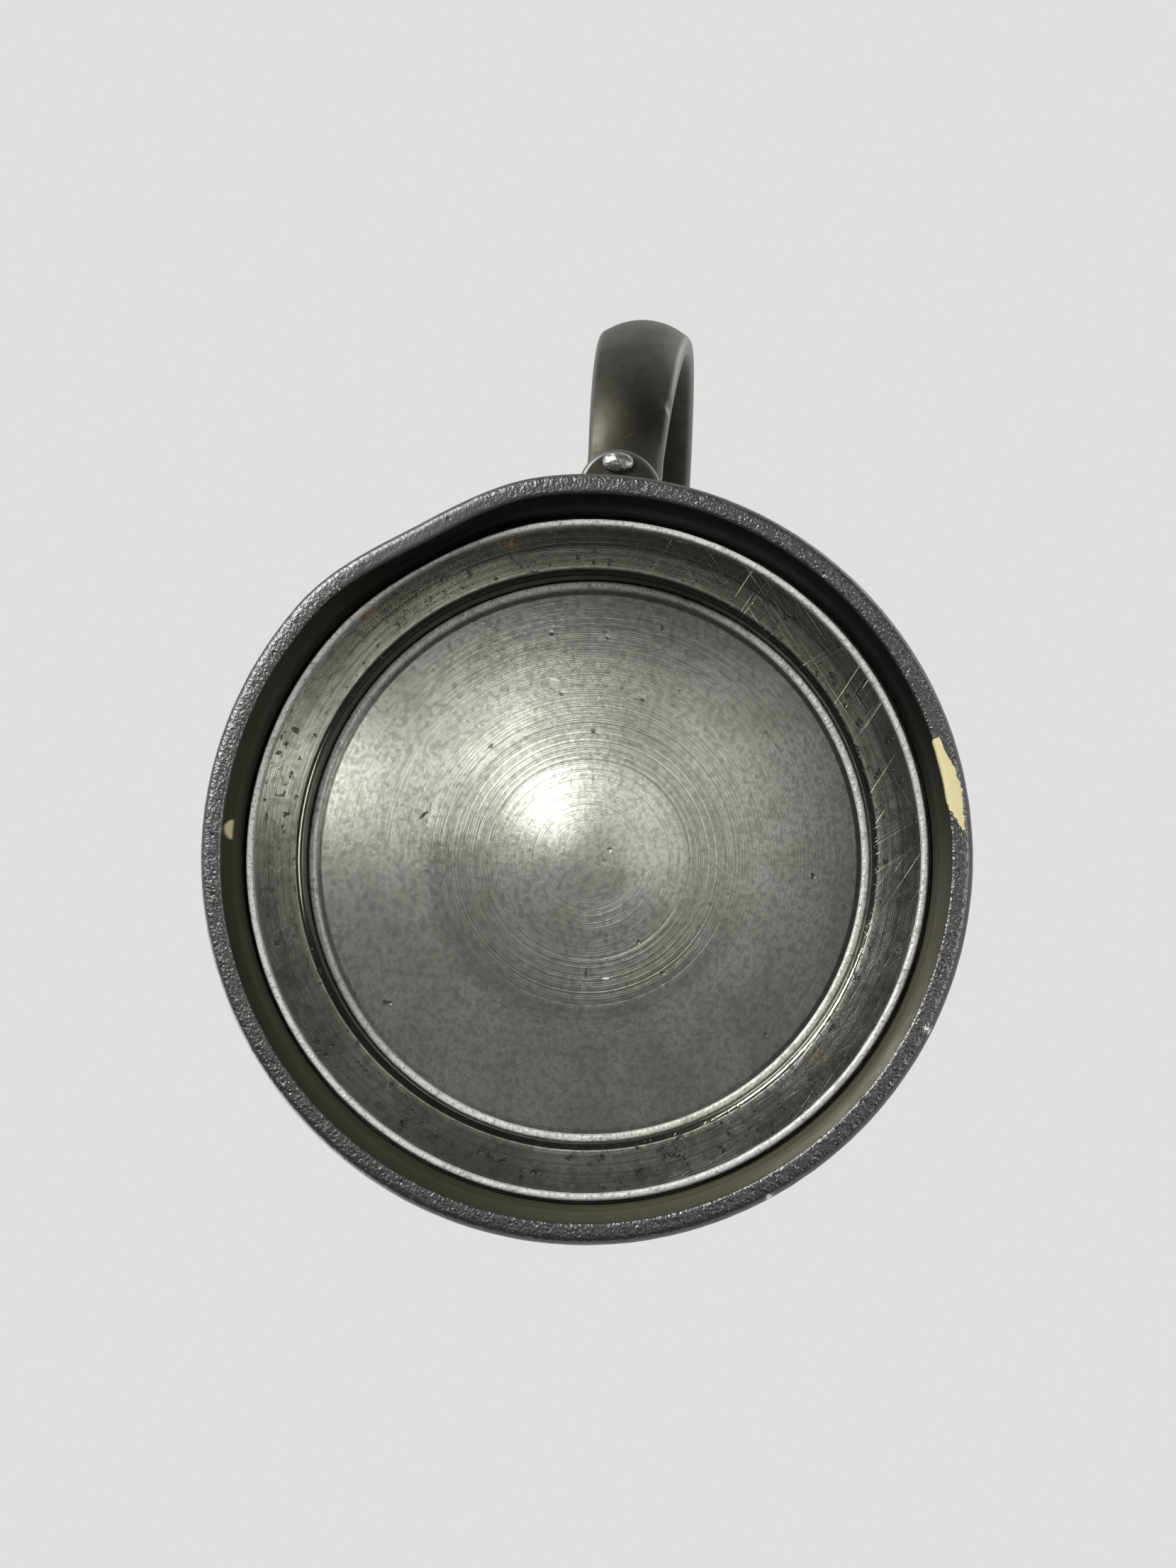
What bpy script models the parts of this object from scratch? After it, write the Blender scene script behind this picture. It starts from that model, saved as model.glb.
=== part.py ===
"""A lidless pewter pint tankard: drum, foot, stepped base and riveted strap handle.

Metres, +Z up. The pot stands on its foot at height zero with its handle towards +X, and the
origin is the middle of its footprint with the handle counted in.
"""
import math

import bmesh
import bpy

# Fits and roundness
FIT_GAP = 0.0003
TURN_STEPS = 64
REED_STEPS = 5
SWEEP_STEPS = 6
CORNER_STEPS = 3
RIVET_STEPS = 16
ROUND_PROFILE = 0.5
WELD_DISTANCE = 0.000001
SMOOTH_ANGLE = math.radians(32)

# Drum, a tapered tube
POT_HEIGHT = 0.1150
DRUM_TOP_RADIUS = 0.0430
DRUM_FOOT_RADIUS = 0.0465
DRUM_WALL = 0.0020
RIM_ROUND = 0.0007

# Mouldings soldered round the drum
LIP_BAND_DROP = 0.0009
LIP_BAND_WIDTH = 0.0042
LIP_BAND_DEPTH = 0.0014
LIP_BAND_REEDS = 1
GIRDLE_HEIGHT = 0.0385
GIRDLE_WIDTH = 0.0048
GIRDLE_DEPTH = 0.0012
GIRDLE_REEDS = 2
BAND_EDGE = 0.0004

# Foot, from the drum outwards and from the table up
FOOT_SHOULDER = 0.0023
RECESS_DRAFT = 0.0022
FOOT_FACE_WIDTH = 0.0020
FOOT_EDGE_ROUND = 0.0014
FOOT_LIP_ROUND = 0.0004
FOOT_EDGE_LOW = 0.0020
FOOT_EDGE_WIDTH = 0.0024
FOOT_EDGE_STEP = 0.0007
FOOT_SWEEP_RISE = 0.0066
FOOT_SWEEP_SAG = 0.0010
FOOT_TOP_WALL = 0.0011
FOOT_BEAD_WIDTH = 0.0032
FOOT_BEAD_DEPTH = 0.0014

# Base: a step ring and the floor plate, with solder in both corners
LAND_HEIGHT = 0.0050
COLLAR_SETBACK = 0.0023
COLLAR_WALL = 0.0018
COLLAR_DEPTH = 0.0058
COLLAR_EDGE_ROUND = 0.0010
PLATE_THICKNESS = 0.0020
FOOT_SEAM_LEG = 0.0014
BASE_SEAM_LEG = 0.0012
SEAM_BULGE = 0.0002

# Dent knocked into the foot beside the handle
DENT_ANGLE = math.radians(-32)
DENT_HALF_WIDTH = math.radians(21)
DENT_DEPTH = 0.0015
DENT_FULL_HEIGHT = 0.0035
DENT_FADE_HEIGHT = 0.0100

# Strap handle
HANDLE_REACH = 0.0894
GRIP_HEIGHT = 0.0600
UPPER_ROOT_DROP = 0.0205
UPPER_ROOT_RISE = math.radians(10)
BOW_ROUNDNESS = 0.55
STRAP_TOP_WIDTH = 0.0144
STRAP_GRIP_WIDTH = 0.0142
STRAP_TAIL_WIDTH = 0.0112
STRAP_TOP_THICKNESS = 0.0064
STRAP_GRIP_THICKNESS = 0.0058
STRAP_TAIL_THICKNESS = 0.0046
STRAP_TOP_CROWN = 0.0024
STRAP_GRIP_CROWN = 0.0025
STRAP_TAIL_CROWN = 0.0009
STRAP_EDGE_EASE = 0.0009
STRAP_COLUMNS = 8
TAIL_STATIONS = 4
BOW_STATIONS = 15
ROOT_FILLET = 0.0015

# Lug under the handle's lower end, and its rivet
LUG_LIFT = 0.0007
LUG_THICKNESS = 0.0038
LUG_WIDTH = 0.0127
LUG_LENGTH = 0.0143
LUG_TIP_LENGTH = 0.0070
LUG_TIP_LEAN = 0.0006
LUG_EDGE_ROUND = 0.0008
LUG_TIP_STEPS = 14
LUG_ROOT_STEPS = 6
RIVET_SHANK_RADIUS = 0.0010
RIVET_HEAD_RADIUS = 0.0019
RIVET_HEAD_HEIGHT = 0.0010
RIVET_TIP_DISTANCE = 0.0021
RIVET_SIDE = -0.0007
RIVET_HEAD_STEPS = 4

# Sizes that follow from the ones above
RECESS_TOP_RADIUS = DRUM_FOOT_RADIUS + FOOT_SHOULDER
FACE_INNER_RADIUS = RECESS_TOP_RADIUS + RECESS_DRAFT
FACE_OUTER_RADIUS = FACE_INNER_RADIUS + FOOT_FACE_WIDTH
FOOT_RADIUS = FACE_OUTER_RADIUS + FOOT_EDGE_ROUND
FOOT_EDGE_HIGH = FOOT_EDGE_LOW + FOOT_EDGE_WIDTH
FOOT_NECK_HEIGHT = FOOT_EDGE_HIGH + FOOT_SWEEP_RISE
FOOT_HEIGHT = FOOT_NECK_HEIGHT + FOOT_BEAD_WIDTH
LAND_TOP = LAND_HEIGHT + COLLAR_WALL
DRUM_SEAT = LAND_TOP + FIT_GAP
COLLAR_BORE_RADIUS = DRUM_FOOT_RADIUS - DRUM_WALL - COLLAR_SETBACK - COLLAR_WALL
PLATE_HEIGHT = LAND_HEIGHT + COLLAR_DEPTH
UPPER_ROOT_HEIGHT = POT_HEIGHT - UPPER_ROOT_DROP
LUG_HEIGHT = FOOT_HEIGHT + LUG_LIFT
TAIL_HEIGHT = LUG_HEIGHT + LUG_THICKNESS + FIT_GAP + STRAP_TAIL_THICKNESS / 2
LUG_REACH = DRUM_FOOT_RADIUS + LUG_LENGTH
RIVET_REACH = LUG_REACH - RIVET_TIP_DISTANCE
AXIS_OFFSET = (FOOT_RADIUS - HANDLE_REACH) / 2

for old in list(bpy.data.objects):
    bpy.data.objects.remove(old, do_unlink=True)

pot = bpy.data.objects.new("tankard_axis", None)
pot.location = (AXIS_OFFSET, 0.0, 0.0)
bpy.context.collection.objects.link(pot)


def pewter(name, colour, roughness):
    """A metal finish for one piece."""
    material = bpy.data.materials.new(name)
    material.use_nodes = True
    shader = material.node_tree.nodes["Principled BSDF"]
    shader.inputs["Base Color"].default_value = (*colour, 1.0)
    shader.inputs["Roughness"].default_value = roughness
    shader.inputs["Metallic"].default_value = 1.0
    return material


def finish(bm, name, colour, roughness):
    """Close a mesh, turn its faces outwards and hang it on the pot's axis as a named piece."""
    bmesh.ops.remove_doubles(bm, verts=bm.verts, dist=WELD_DISTANCE)
    bmesh.ops.recalc_face_normals(bm, faces=bm.faces)
    mesh = bpy.data.meshes.new(name)
    bm.to_mesh(mesh)
    bm.free()
    mesh.shade_smooth()
    mesh.set_sharp_from_angle(angle=SMOOTH_ANGLE)
    mesh.materials.append(pewter(name + "_metal", colour, roughness))
    piece = bpy.data.objects.new(name, mesh)
    bpy.context.collection.objects.link(piece)
    piece.parent = pot
    return piece


def turned(profile, steps=TURN_STEPS, ring=True):
    """Turn a profile of (radius, height) points about the axis: a closed ring, or a solid on the axis."""
    bm = bmesh.new()
    verts = [bm.verts.new((radius, 0.0, height)) for radius, height in profile]
    following = verts[1:] + verts[:1] if ring else verts[1:]
    edges = [bm.edges.new(pair) for pair in zip(verts, following)]
    bmesh.ops.spin(
        bm, geom=verts + edges, cent=(0, 0, 0), axis=(0, 0, 1), angle=math.tau, steps=steps, use_merge=True
    )
    return bm


def drum_radius(height):
    """Outer radius of the tapered drum at a height."""
    rise = (height - DRUM_SEAT) / (POT_HEIGHT - DRUM_SEAT)
    return DRUM_FOOT_RADIUS + (DRUM_TOP_RADIUS - DRUM_FOOT_RADIUS) * rise


def eased(value):
    """Smooth step from 0 to 1, held outside that range."""
    value = min(max(value, 0.0), 1.0)
    return value * value * (3 - 2 * value)


def dent(bm):
    """Push the foot in where it was knocked: deepest at the face, gone at the drum."""
    for vert in bm.verts:
        radius = math.hypot(vert.co.x, vert.co.y)
        turn = math.remainder(math.atan2(vert.co.y, vert.co.x) - DENT_ANGLE, math.tau)
        across = eased(1 - abs(turn) / DENT_HALF_WIDTH)
        down = eased((DENT_FADE_HEIGHT - vert.co.z) / (DENT_FADE_HEIGHT - DENT_FULL_HEIGHT))
        out = eased((radius - DRUM_FOOT_RADIUS) / (FACE_INNER_RADIUS - DRUM_FOOT_RADIUS))
        pushed = radius - DENT_DEPTH * across * down * out
        vert.co.x *= pushed / radius
        vert.co.y *= pushed / radius


def half_round(low, width, depth, reeds):
    """Outer side of a moulding on the drum, from its lower edge up, in one or more round reeds."""
    points = []
    steps = reeds * REED_STEPS
    for i in range(steps + 1):
        height = low + width * i / steps
        swell = (depth - BAND_EDGE) * abs(math.sin(math.pi * i / REED_STEPS))
        points.append((drum_radius(height) + FIT_GAP + BAND_EDGE + swell, height))
    return points


def band_on_drum(low, width, depth, reeds):
    """Profile of a moulding that goes round the drum and follows its taper."""
    inner = [(drum_radius(height) + FIT_GAP, height) for height in (low + width, low)]
    return half_round(low, width, depth, reeds) + inner


# Drum: a plain tapered tube whose rim is rounded off, standing on the step ring
def build_drum():
    top = DRUM_TOP_RADIUS
    profile = [
        (DRUM_FOOT_RADIUS, DRUM_SEAT),
        (drum_radius(POT_HEIGHT - RIM_ROUND), POT_HEIGHT - RIM_ROUND),
        (top - RIM_ROUND, POT_HEIGHT),
        (top - DRUM_WALL + RIM_ROUND, POT_HEIGHT),
        (drum_radius(POT_HEIGHT - RIM_ROUND) - DRUM_WALL, POT_HEIGHT - RIM_ROUND),
        (DRUM_FOOT_RADIUS - DRUM_WALL, DRUM_SEAT),
    ]
    finish(turned(profile), "drum", (0.42, 0.42, 0.40), 0.32)


# Mouldings round the mouth and the lower body
def build_bands():
    lip_low = POT_HEIGHT - LIP_BAND_DROP - LIP_BAND_WIDTH
    lip = turned(band_on_drum(lip_low, LIP_BAND_WIDTH, LIP_BAND_DEPTH, LIP_BAND_REEDS))
    finish(lip, "lip_band", (0.45, 0.45, 0.43), 0.30)
    girdle_low = GIRDLE_HEIGHT - GIRDLE_WIDTH / 2
    girdle = turned(band_on_drum(girdle_low, GIRDLE_WIDTH, GIRDLE_DEPTH, GIRDLE_REEDS))
    finish(girdle, "girdle_band", (0.43, 0.43, 0.41), 0.32)


# Foot: a flared casting round the drum's lower end, with the worn face that the pot stands on
def build_foot():
    neck = drum_radius(FOOT_NECK_HEIGHT) + FIT_GAP + FOOT_TOP_WALL
    sweep_out = FOOT_RADIUS - FOOT_EDGE_STEP
    profile = [(FACE_INNER_RADIUS, 0.0)]
    for i in range(CORNER_STEPS + 1):
        turn = math.pi / 2 * i / CORNER_STEPS
        out = FACE_OUTER_RADIUS + FOOT_EDGE_ROUND * math.sin(turn)
        profile.append((out, FOOT_EDGE_LOW * (1 - math.cos(turn))))
    profile.append((FOOT_RADIUS, FOOT_EDGE_HIGH - FOOT_EDGE_STEP))
    for i in range(SWEEP_STEPS + 1):
        share = i / SWEEP_STEPS
        straight = sweep_out + (neck - sweep_out) * share
        sag = FOOT_SWEEP_SAG * math.sin(math.pi * share)
        profile.append((straight - sag, FOOT_EDGE_HIGH + FOOT_SWEEP_RISE * share))
    for i in range(1, REED_STEPS + 1):
        height = FOOT_NECK_HEIGHT + FOOT_BEAD_WIDTH * i / REED_STEPS
        swell = FOOT_BEAD_DEPTH * math.sin(math.pi * i / REED_STEPS)
        profile.append((drum_radius(height) + FIT_GAP + FOOT_TOP_WALL + swell, height))
    profile += [
        (drum_radius(FOOT_HEIGHT) + FIT_GAP, FOOT_HEIGHT),
        (DRUM_FOOT_RADIUS + FIT_GAP, DRUM_SEAT),
        (RECESS_TOP_RADIUS, DRUM_SEAT),
        (RECESS_TOP_RADIUS, LAND_HEIGHT),
        (FACE_INNER_RADIUS - FOOT_LIP_ROUND, FOOT_LIP_ROUND),
    ]
    bm = turned(profile)
    dent(bm)
    finish(bm, "foot_ring", (0.27, 0.27, 0.25), 0.55)


# Base: the step ring under the drum, the floor plate on it and the solder in both corners
def build_base():
    bore = COLLAR_BORE_RADIUS
    wall_top = PLATE_HEIGHT - FIT_GAP
    edge = COLLAR_EDGE_ROUND
    collar = [(bore + COLLAR_WALL, LAND_TOP), (bore + COLLAR_WALL, wall_top), (bore, wall_top)]
    for i in range(CORNER_STEPS + 1):
        turn = math.pi / 2 * i / CORNER_STEPS
        collar.append((bore + edge - edge * math.cos(turn), LAND_HEIGHT + edge - edge * math.sin(turn)))
    collar += [
        (RECESS_TOP_RADIUS - FIT_GAP, LAND_HEIGHT),
        (RECESS_TOP_RADIUS - FIT_GAP, LAND_TOP),
    ]
    bm = turned(collar)
    dent(bm)
    finish(bm, "base_collar", (0.34, 0.34, 0.31), 0.36)

    plate_top = PLATE_HEIGHT + PLATE_THICKNESS
    plate_radius = drum_radius(plate_top) - DRUM_WALL - FIT_GAP
    plate = [(0.0, PLATE_HEIGHT), (plate_radius, PLATE_HEIGHT), (plate_radius, plate_top), (0.0, plate_top)]
    finish(turned(plate, ring=False), "base_plate", (0.40, 0.40, 0.38), 0.34)

    inner = corner_seam(bore - FIT_GAP, PLATE_HEIGHT - FIT_GAP, BASE_SEAM_LEG, 0.0)
    finish(turned(inner), "base_seam", (0.60, 0.60, 0.57), 0.30)

    draft = RECESS_DRAFT / LAND_HEIGHT
    outer = corner_seam(RECESS_TOP_RADIUS - FIT_GAP, LAND_HEIGHT - FIT_GAP, FOOT_SEAM_LEG, draft)
    bm = turned(outer)
    dent(bm)
    finish(bm, "foot_seam", (0.58, 0.58, 0.54), 0.32)


def corner_seam(radius, height, leg, draft):
    """Profile of solder in a corner: a three-sided run with a bulged face, under a ledge, inside a wall."""
    low = (radius + leg * draft / 2, height - leg)
    inside = (radius - leg, height)
    middle = ((low[0] + inside[0]) / 2 - SEAM_BULGE, (low[1] + inside[1]) / 2 - SEAM_BULGE)
    return [(radius, height), low, middle, inside]


def cubic(start, first, second, end, share):
    """Point and direction on a cubic curve in the handle's upright plane."""
    rest = 1 - share
    weights = (rest**3, 3 * rest**2 * share, 3 * rest * share**2, share**3)
    slopes = (-3 * rest**2, 3 * rest**2 - 6 * rest * share, 6 * rest * share - 3 * share**2, 3 * share**2)
    corners = (start, first, second, end)
    place = [sum(w * corner[axis] for w, corner in zip(weights, corners)) for axis in (0, 1)]
    along = [sum(s * corner[axis] for s, corner in zip(slopes, corners)) for axis in (0, 1)]
    return place, along


def strap_outline(width, thickness, crown):
    """Outline across the strap as (sideways, outward) pairs: back columns, then finger-side columns."""
    back = []
    front = []
    for i in range(STRAP_COLUMNS + 1):
        side = math.sin(math.pi / 2 * (1 - 2 * i / STRAP_COLUMNS))
        back.append((side * width / 2, thickness / 2 - crown * side * side))
        front.append((side * width / 2, STRAP_EDGE_EASE * side**6 - thickness / 2))
    return back + front[::-1]


def strap_stations():
    """Stations from the lower root to the upper one: place, direction and section sizes."""
    tail = (STRAP_TAIL_WIDTH, STRAP_TAIL_THICKNESS, STRAP_TAIL_CROWN)
    grip = (STRAP_GRIP_WIDTH, STRAP_GRIP_THICKNESS, STRAP_GRIP_CROWN)
    top = (STRAP_TOP_WIDTH, STRAP_TOP_THICKNESS, STRAP_TOP_CROWN)
    grip_point = (HANDLE_REACH - STRAP_GRIP_THICKNESS / 2, GRIP_HEIGHT)
    leg_end = (LUG_REACH, TAIL_HEIGHT)
    upper_root = (drum_radius(UPPER_ROOT_HEIGHT) + FIT_GAP, UPPER_ROOT_HEIGHT)
    low_pull = BOW_ROUNDNESS * (GRIP_HEIGHT - TAIL_HEIGHT)
    leg_pull = BOW_ROUNDNESS * (grip_point[0] - LUG_REACH)
    high_pull = BOW_ROUNDNESS * (UPPER_ROOT_HEIGHT - GRIP_HEIGHT)
    root_pull = BOW_ROUNDNESS * (grip_point[0] - upper_root[0])
    below_grip = (grip_point[0], GRIP_HEIGHT - low_pull)
    above_grip = (grip_point[0], GRIP_HEIGHT + high_pull)
    off_root = (
        upper_root[0] + root_pull * math.cos(UPPER_ROOT_RISE),
        upper_root[1] + root_pull * math.sin(UPPER_ROOT_RISE),
    )
    root_radius = drum_radius(TAIL_HEIGHT)
    stations = []
    for i in range(TAIL_STATIONS):
        reach = root_radius + (LUG_REACH - root_radius) * i / TAIL_STATIONS
        stations.append(((reach, TAIL_HEIGHT), (1.0, 0.0), tail))
    for i in range(BOW_STATIONS):
        share = i / BOW_STATIONS
        past_leg = (LUG_REACH + leg_pull, TAIL_HEIGHT)
        place, along = cubic(leg_end, past_leg, below_grip, grip_point, share)
        mix = (place[0] - LUG_REACH) / (grip_point[0] - LUG_REACH)
        stations.append((place, along, [a + (b - a) * mix for a, b in zip(tail, grip)]))
    for i in range(BOW_STATIONS + 1):
        share = i / BOW_STATIONS
        place, along = cubic(grip_point, above_grip, off_root, upper_root, share)
        mix = eased(share)
        stations.append((place, along, [a + (b - a) * mix for a, b in zip(grip, top)]))
    return stations


def section_points(place, along, outline):
    """Points of one section, square to the strap's direction."""
    length = math.hypot(*along)
    outward = (along[1] / length, -along[0] / length)
    return [(place[0] + out * outward[0], side, place[1] + out * outward[1]) for side, out in outline]


def coped(points):
    """Slide points level until they lie a fit's gap off the drum."""
    return [(math.sqrt((drum_radius(z) + FIT_GAP) ** 2 - y * y), y, z) for x, y, z in points]


def loft(bm, rings, closed_rings=True):
    """Skin a list of rings of points, and give back their vertices."""
    loops = [[bm.verts.new(point) for point in ring] for ring in rings]
    for low, high in zip(loops, loops[1:]):
        for i in range(len(low) if closed_rings else len(low) - 1):
            j = (i + 1) % len(low)
            bm.faces.new((low[i], low[j], high[j], high[i]))
    return loops


def rivet_cutter():
    """The hole through strap and lug, a little wider than the shank."""
    reach = RIVET_SHANK_RADIUS + FIT_GAP
    low = LUG_HEIGHT - LUG_THICKNESS
    high = TAIL_HEIGHT + STRAP_TAIL_THICKNESS
    profile = [(0.0, low), (reach, low), (reach, high), (0.0, high)]
    cutter = finish(turned(profile, RIVET_STEPS, ring=False), "rivet_hole", (0.5, 0.5, 0.5), 0.5)
    cutter.location = (RIVET_REACH, RIVET_SIDE, 0.0)
    cutter.hide_render = True
    cutter.display_type = "WIRE"
    return cutter


def drill(piece, cutter):
    """Drill a piece for the rivet."""
    hole = piece.modifiers.new("rivet_hole", "BOOLEAN")
    hole.operation = "DIFFERENCE"
    hole.solver = "EXACT"
    hole.object = cutter


# Handle: a cast strap, crowned outside, from a flat tail on the lug round to the upper body
def build_strap(cutter):
    stations = strap_stations()
    rings = [section_points(place, along, strap_outline(*sizes)) for place, along, sizes in stations]
    rings[0] = coped(rings[0])
    rings[-1] = coped(rings[-1])
    bm = bmesh.new()
    loops = loft(bm, rings)
    for loop in (loops[0], loops[-1]):
        for i in range(STRAP_COLUMNS):
            bm.faces.new((loop[i], loop[i + 1], loop[-2 - i], loop[-1 - i]))
    drill(finish(bm, "handle_strap", (0.25, 0.25, 0.22), 0.36), cutter)


def root_fillet(place, along, off_drum, sizes, outline_range):
    """Three rows of points of a solder fillet where the strap meets the drum."""
    width, thickness, crown = sizes
    near = strap_outline(width + 2 * FIT_GAP, thickness + 2 * FIT_GAP, crown)[outline_range]
    spread = 2 * (FIT_GAP + ROOT_FILLET)
    far = strap_outline(width + spread, thickness + spread, crown)[outline_range]
    length = math.hypot(*along)
    lifted = [place[axis] + off_drum * ROOT_FILLET * along[axis] / length for axis in (0, 1)]
    on_strap = section_points(lifted, along, near)
    on_drum = coped(section_points(place, along, near))
    spread_out = coped(section_points(place, along, far))
    return on_strap, on_drum, spread_out


# Solder at the handle's two roots: right round the upper one, along the top of the lower one
def build_root_solder():
    stations = strap_stations()
    place, along, sizes = stations[-1]
    rows = root_fillet(place, along, -1, sizes, slice(None))
    bm = bmesh.new()
    loft(bm, rows + rows[:1])
    finish(bm, "upper_root_solder", (0.50, 0.50, 0.47), 0.40)

    place, along, sizes = stations[0]
    rows = root_fillet(place, along, 1, sizes, slice(STRAP_COLUMNS + 1, None))
    bm = bmesh.new()
    loft(bm, rows + rows[:1], closed_rings=False)
    bmesh.ops.remove_doubles(bm, verts=bm.verts, dist=WELD_DISTANCE)
    bmesh.ops.holes_fill(bm, edges=bm.edges, sides=3)
    finish(bm, "lower_root_solder", (0.48, 0.48, 0.45), 0.42)


# Lug: a round-ended tongue soldered to the drum, which the strap's tail lies on
def build_lug(cutter):
    radius = drum_radius(LUG_HEIGHT) + FIT_GAP
    half = LUG_WIDTH / 2
    outline = []
    for i in range(LUG_ROOT_STEPS + 1):
        side = half - LUG_WIDTH * i / LUG_ROOT_STEPS
        outline.append((math.sqrt(radius**2 - side**2), side))
    for i in range(LUG_TIP_STEPS + 1):
        turn = math.pi * (i / LUG_TIP_STEPS - 0.5)
        tip = LUG_REACH - LUG_TIP_LENGTH * (1 - math.cos(turn))
        outline.append((tip, half * math.sin(turn) - LUG_TIP_LEAN * math.cos(turn)))
    bm = bmesh.new()
    bottom = [bm.verts.new((x, y, LUG_HEIGHT)) for x, y in outline]
    face = bm.faces.new(bottom)
    raised = bmesh.ops.extrude_face_region(bm, geom=[face])
    lifted = [item for item in raised["geom"] if isinstance(item, bmesh.types.BMVert)]
    bmesh.ops.translate(bm, verts=lifted, vec=(0, 0, LUG_THICKNESS))
    tip_edges = [edge for edge in face.edges if min(v.co.x for v in edge.verts) > radius]
    bmesh.ops.bevel(
        bm, geom=tip_edges, offset=LUG_EDGE_ROUND, segments=2, profile=ROUND_PROFILE, affect="EDGES"
    )
    drill(finish(bm, "handle_lug", (0.30, 0.30, 0.28), 0.34), cutter)


# Rivet: a hammered round head below the lug, its shank, and a like head on top of the tail
def build_rivet():
    low = LUG_HEIGHT - FIT_GAP
    high = TAIL_HEIGHT + STRAP_TAIL_THICKNESS / 2 + FIT_GAP
    lower_head = []
    for i in range(RIVET_HEAD_STEPS + 1):
        turn = math.pi / 2 * i / RIVET_HEAD_STEPS
        lower_head.append((RIVET_HEAD_RADIUS * math.sin(turn), RIVET_HEAD_HEIGHT * math.cos(turn)))
    profile = [(radius, low - rise) for radius, rise in lower_head]
    profile += [(RIVET_SHANK_RADIUS, low), (RIVET_SHANK_RADIUS, high)]
    profile += [(radius, high + rise) for radius, rise in lower_head[::-1]]
    rivet = finish(turned(profile, RIVET_STEPS, ring=False), "handle_rivet", (0.62, 0.62, 0.60), 0.34)
    rivet.location = (RIVET_REACH, RIVET_SIDE, 0.0)


build_drum()
build_bands()
build_foot()
build_base()
hole_cutter = rivet_cutter()
build_strap(hole_cutter)
build_root_solder()
build_lug(hole_cutter)
build_rivet()
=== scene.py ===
import math

import bmesh
import bpy
import numpy as np
from mathutils import Matrix, Vector


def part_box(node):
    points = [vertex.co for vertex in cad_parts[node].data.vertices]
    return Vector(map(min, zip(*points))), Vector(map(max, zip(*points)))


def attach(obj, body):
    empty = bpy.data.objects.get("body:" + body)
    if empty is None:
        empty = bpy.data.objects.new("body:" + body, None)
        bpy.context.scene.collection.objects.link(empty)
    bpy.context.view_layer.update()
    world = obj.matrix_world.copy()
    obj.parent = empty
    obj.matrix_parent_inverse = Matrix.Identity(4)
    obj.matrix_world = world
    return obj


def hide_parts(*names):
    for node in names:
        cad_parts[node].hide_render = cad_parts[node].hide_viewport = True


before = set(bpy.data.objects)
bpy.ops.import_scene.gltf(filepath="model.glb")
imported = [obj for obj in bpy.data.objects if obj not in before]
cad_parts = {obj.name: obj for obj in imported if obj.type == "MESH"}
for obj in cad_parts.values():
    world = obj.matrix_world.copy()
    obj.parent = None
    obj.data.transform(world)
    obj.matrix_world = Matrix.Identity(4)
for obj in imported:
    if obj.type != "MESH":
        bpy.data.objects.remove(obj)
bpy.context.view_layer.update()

# Drum: the tapered body of the pot, open at the top. It is a pewter casting, turned inside and out
# on a lathe, with a rounded rim. It stands on the step ring of the base and is soldered there.
DRUM_LOW, DRUM_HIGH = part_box("drum")
AXIS_X = (DRUM_LOW.x + DRUM_HIGH.x) / 2
DRUM_SEAT = DRUM_LOW.z
POT_HEIGHT = DRUM_HIGH.z
DRUM_FOOT_RADIUS = (DRUM_HIGH.y - DRUM_LOW.y) / 2
DRUM_TOP_RADIUS = 0.0430
DRUM_WALL = 0.0020
DRUM_TAPER = (DRUM_FOOT_RADIUS - DRUM_TOP_RADIUS) / (POT_HEIGHT - DRUM_SEAT)
DRUM_STEP = 0.004
RIM_ROUND = 0.0009
ROUND_STEPS = 6
LATHE_STEPS = 256
INDEX_NUDGE = 0.1
WELD_GAP = 1e-7
SHARP_ANGLE = math.radians(40)
BODY_COLOUR = (0.36, 0.36, 0.34)
BODY_SHADE = (0.25, 0.25, 0.23)
INSIDE_COLOUR = (0.52, 0.515, 0.49)
SPOT_COLOUR = (0.10, 0.095, 0.08)
TURNED_RELIEF = 0.000005
BRUSH_TURN = 0.25


class Wire:
    """A node socket that takes Python's operators: each adds the Math node that it stands for."""

    def __init__(self, bench, socket):
        self.bench = bench
        self.socket = socket

    def out(self, name):
        """Another output of the same node."""
        return Wire(self.bench, self.socket.node.outputs[name])

    def maths(self, operation, *others):
        """A Math node on this value and any others."""
        values = dict(enumerate((self, *others)))
        return self.bench.node("ShaderNodeMath", {"operation": operation}, values)

    def vectors(self, operation, *others):
        """A Vector Math node on this vector and any others."""
        values = dict(enumerate((self, *others)))
        return self.bench.node("ShaderNodeVectorMath", {"operation": operation}, values)

    def __add__(self, other):
        return self.maths("ADD", other)

    def __sub__(self, other):
        return self.maths("SUBTRACT", other)

    def __rsub__(self, other):
        return self.bench.node("ShaderNodeMath", {"operation": "SUBTRACT"}, {0: other, 1: self})

    def __mul__(self, other):
        return self.maths("MULTIPLY", other)

    def __truediv__(self, other):
        return self.maths("DIVIDE", other)

    def __rtruediv__(self, other):
        return self.bench.node("ShaderNodeMath", {"operation": "DIVIDE"}, {0: other, 1: self})

    def __mod__(self, other):
        return self.maths("MODULO", other)

    __radd__ = __add__
    __rmul__ = __mul__


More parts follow.
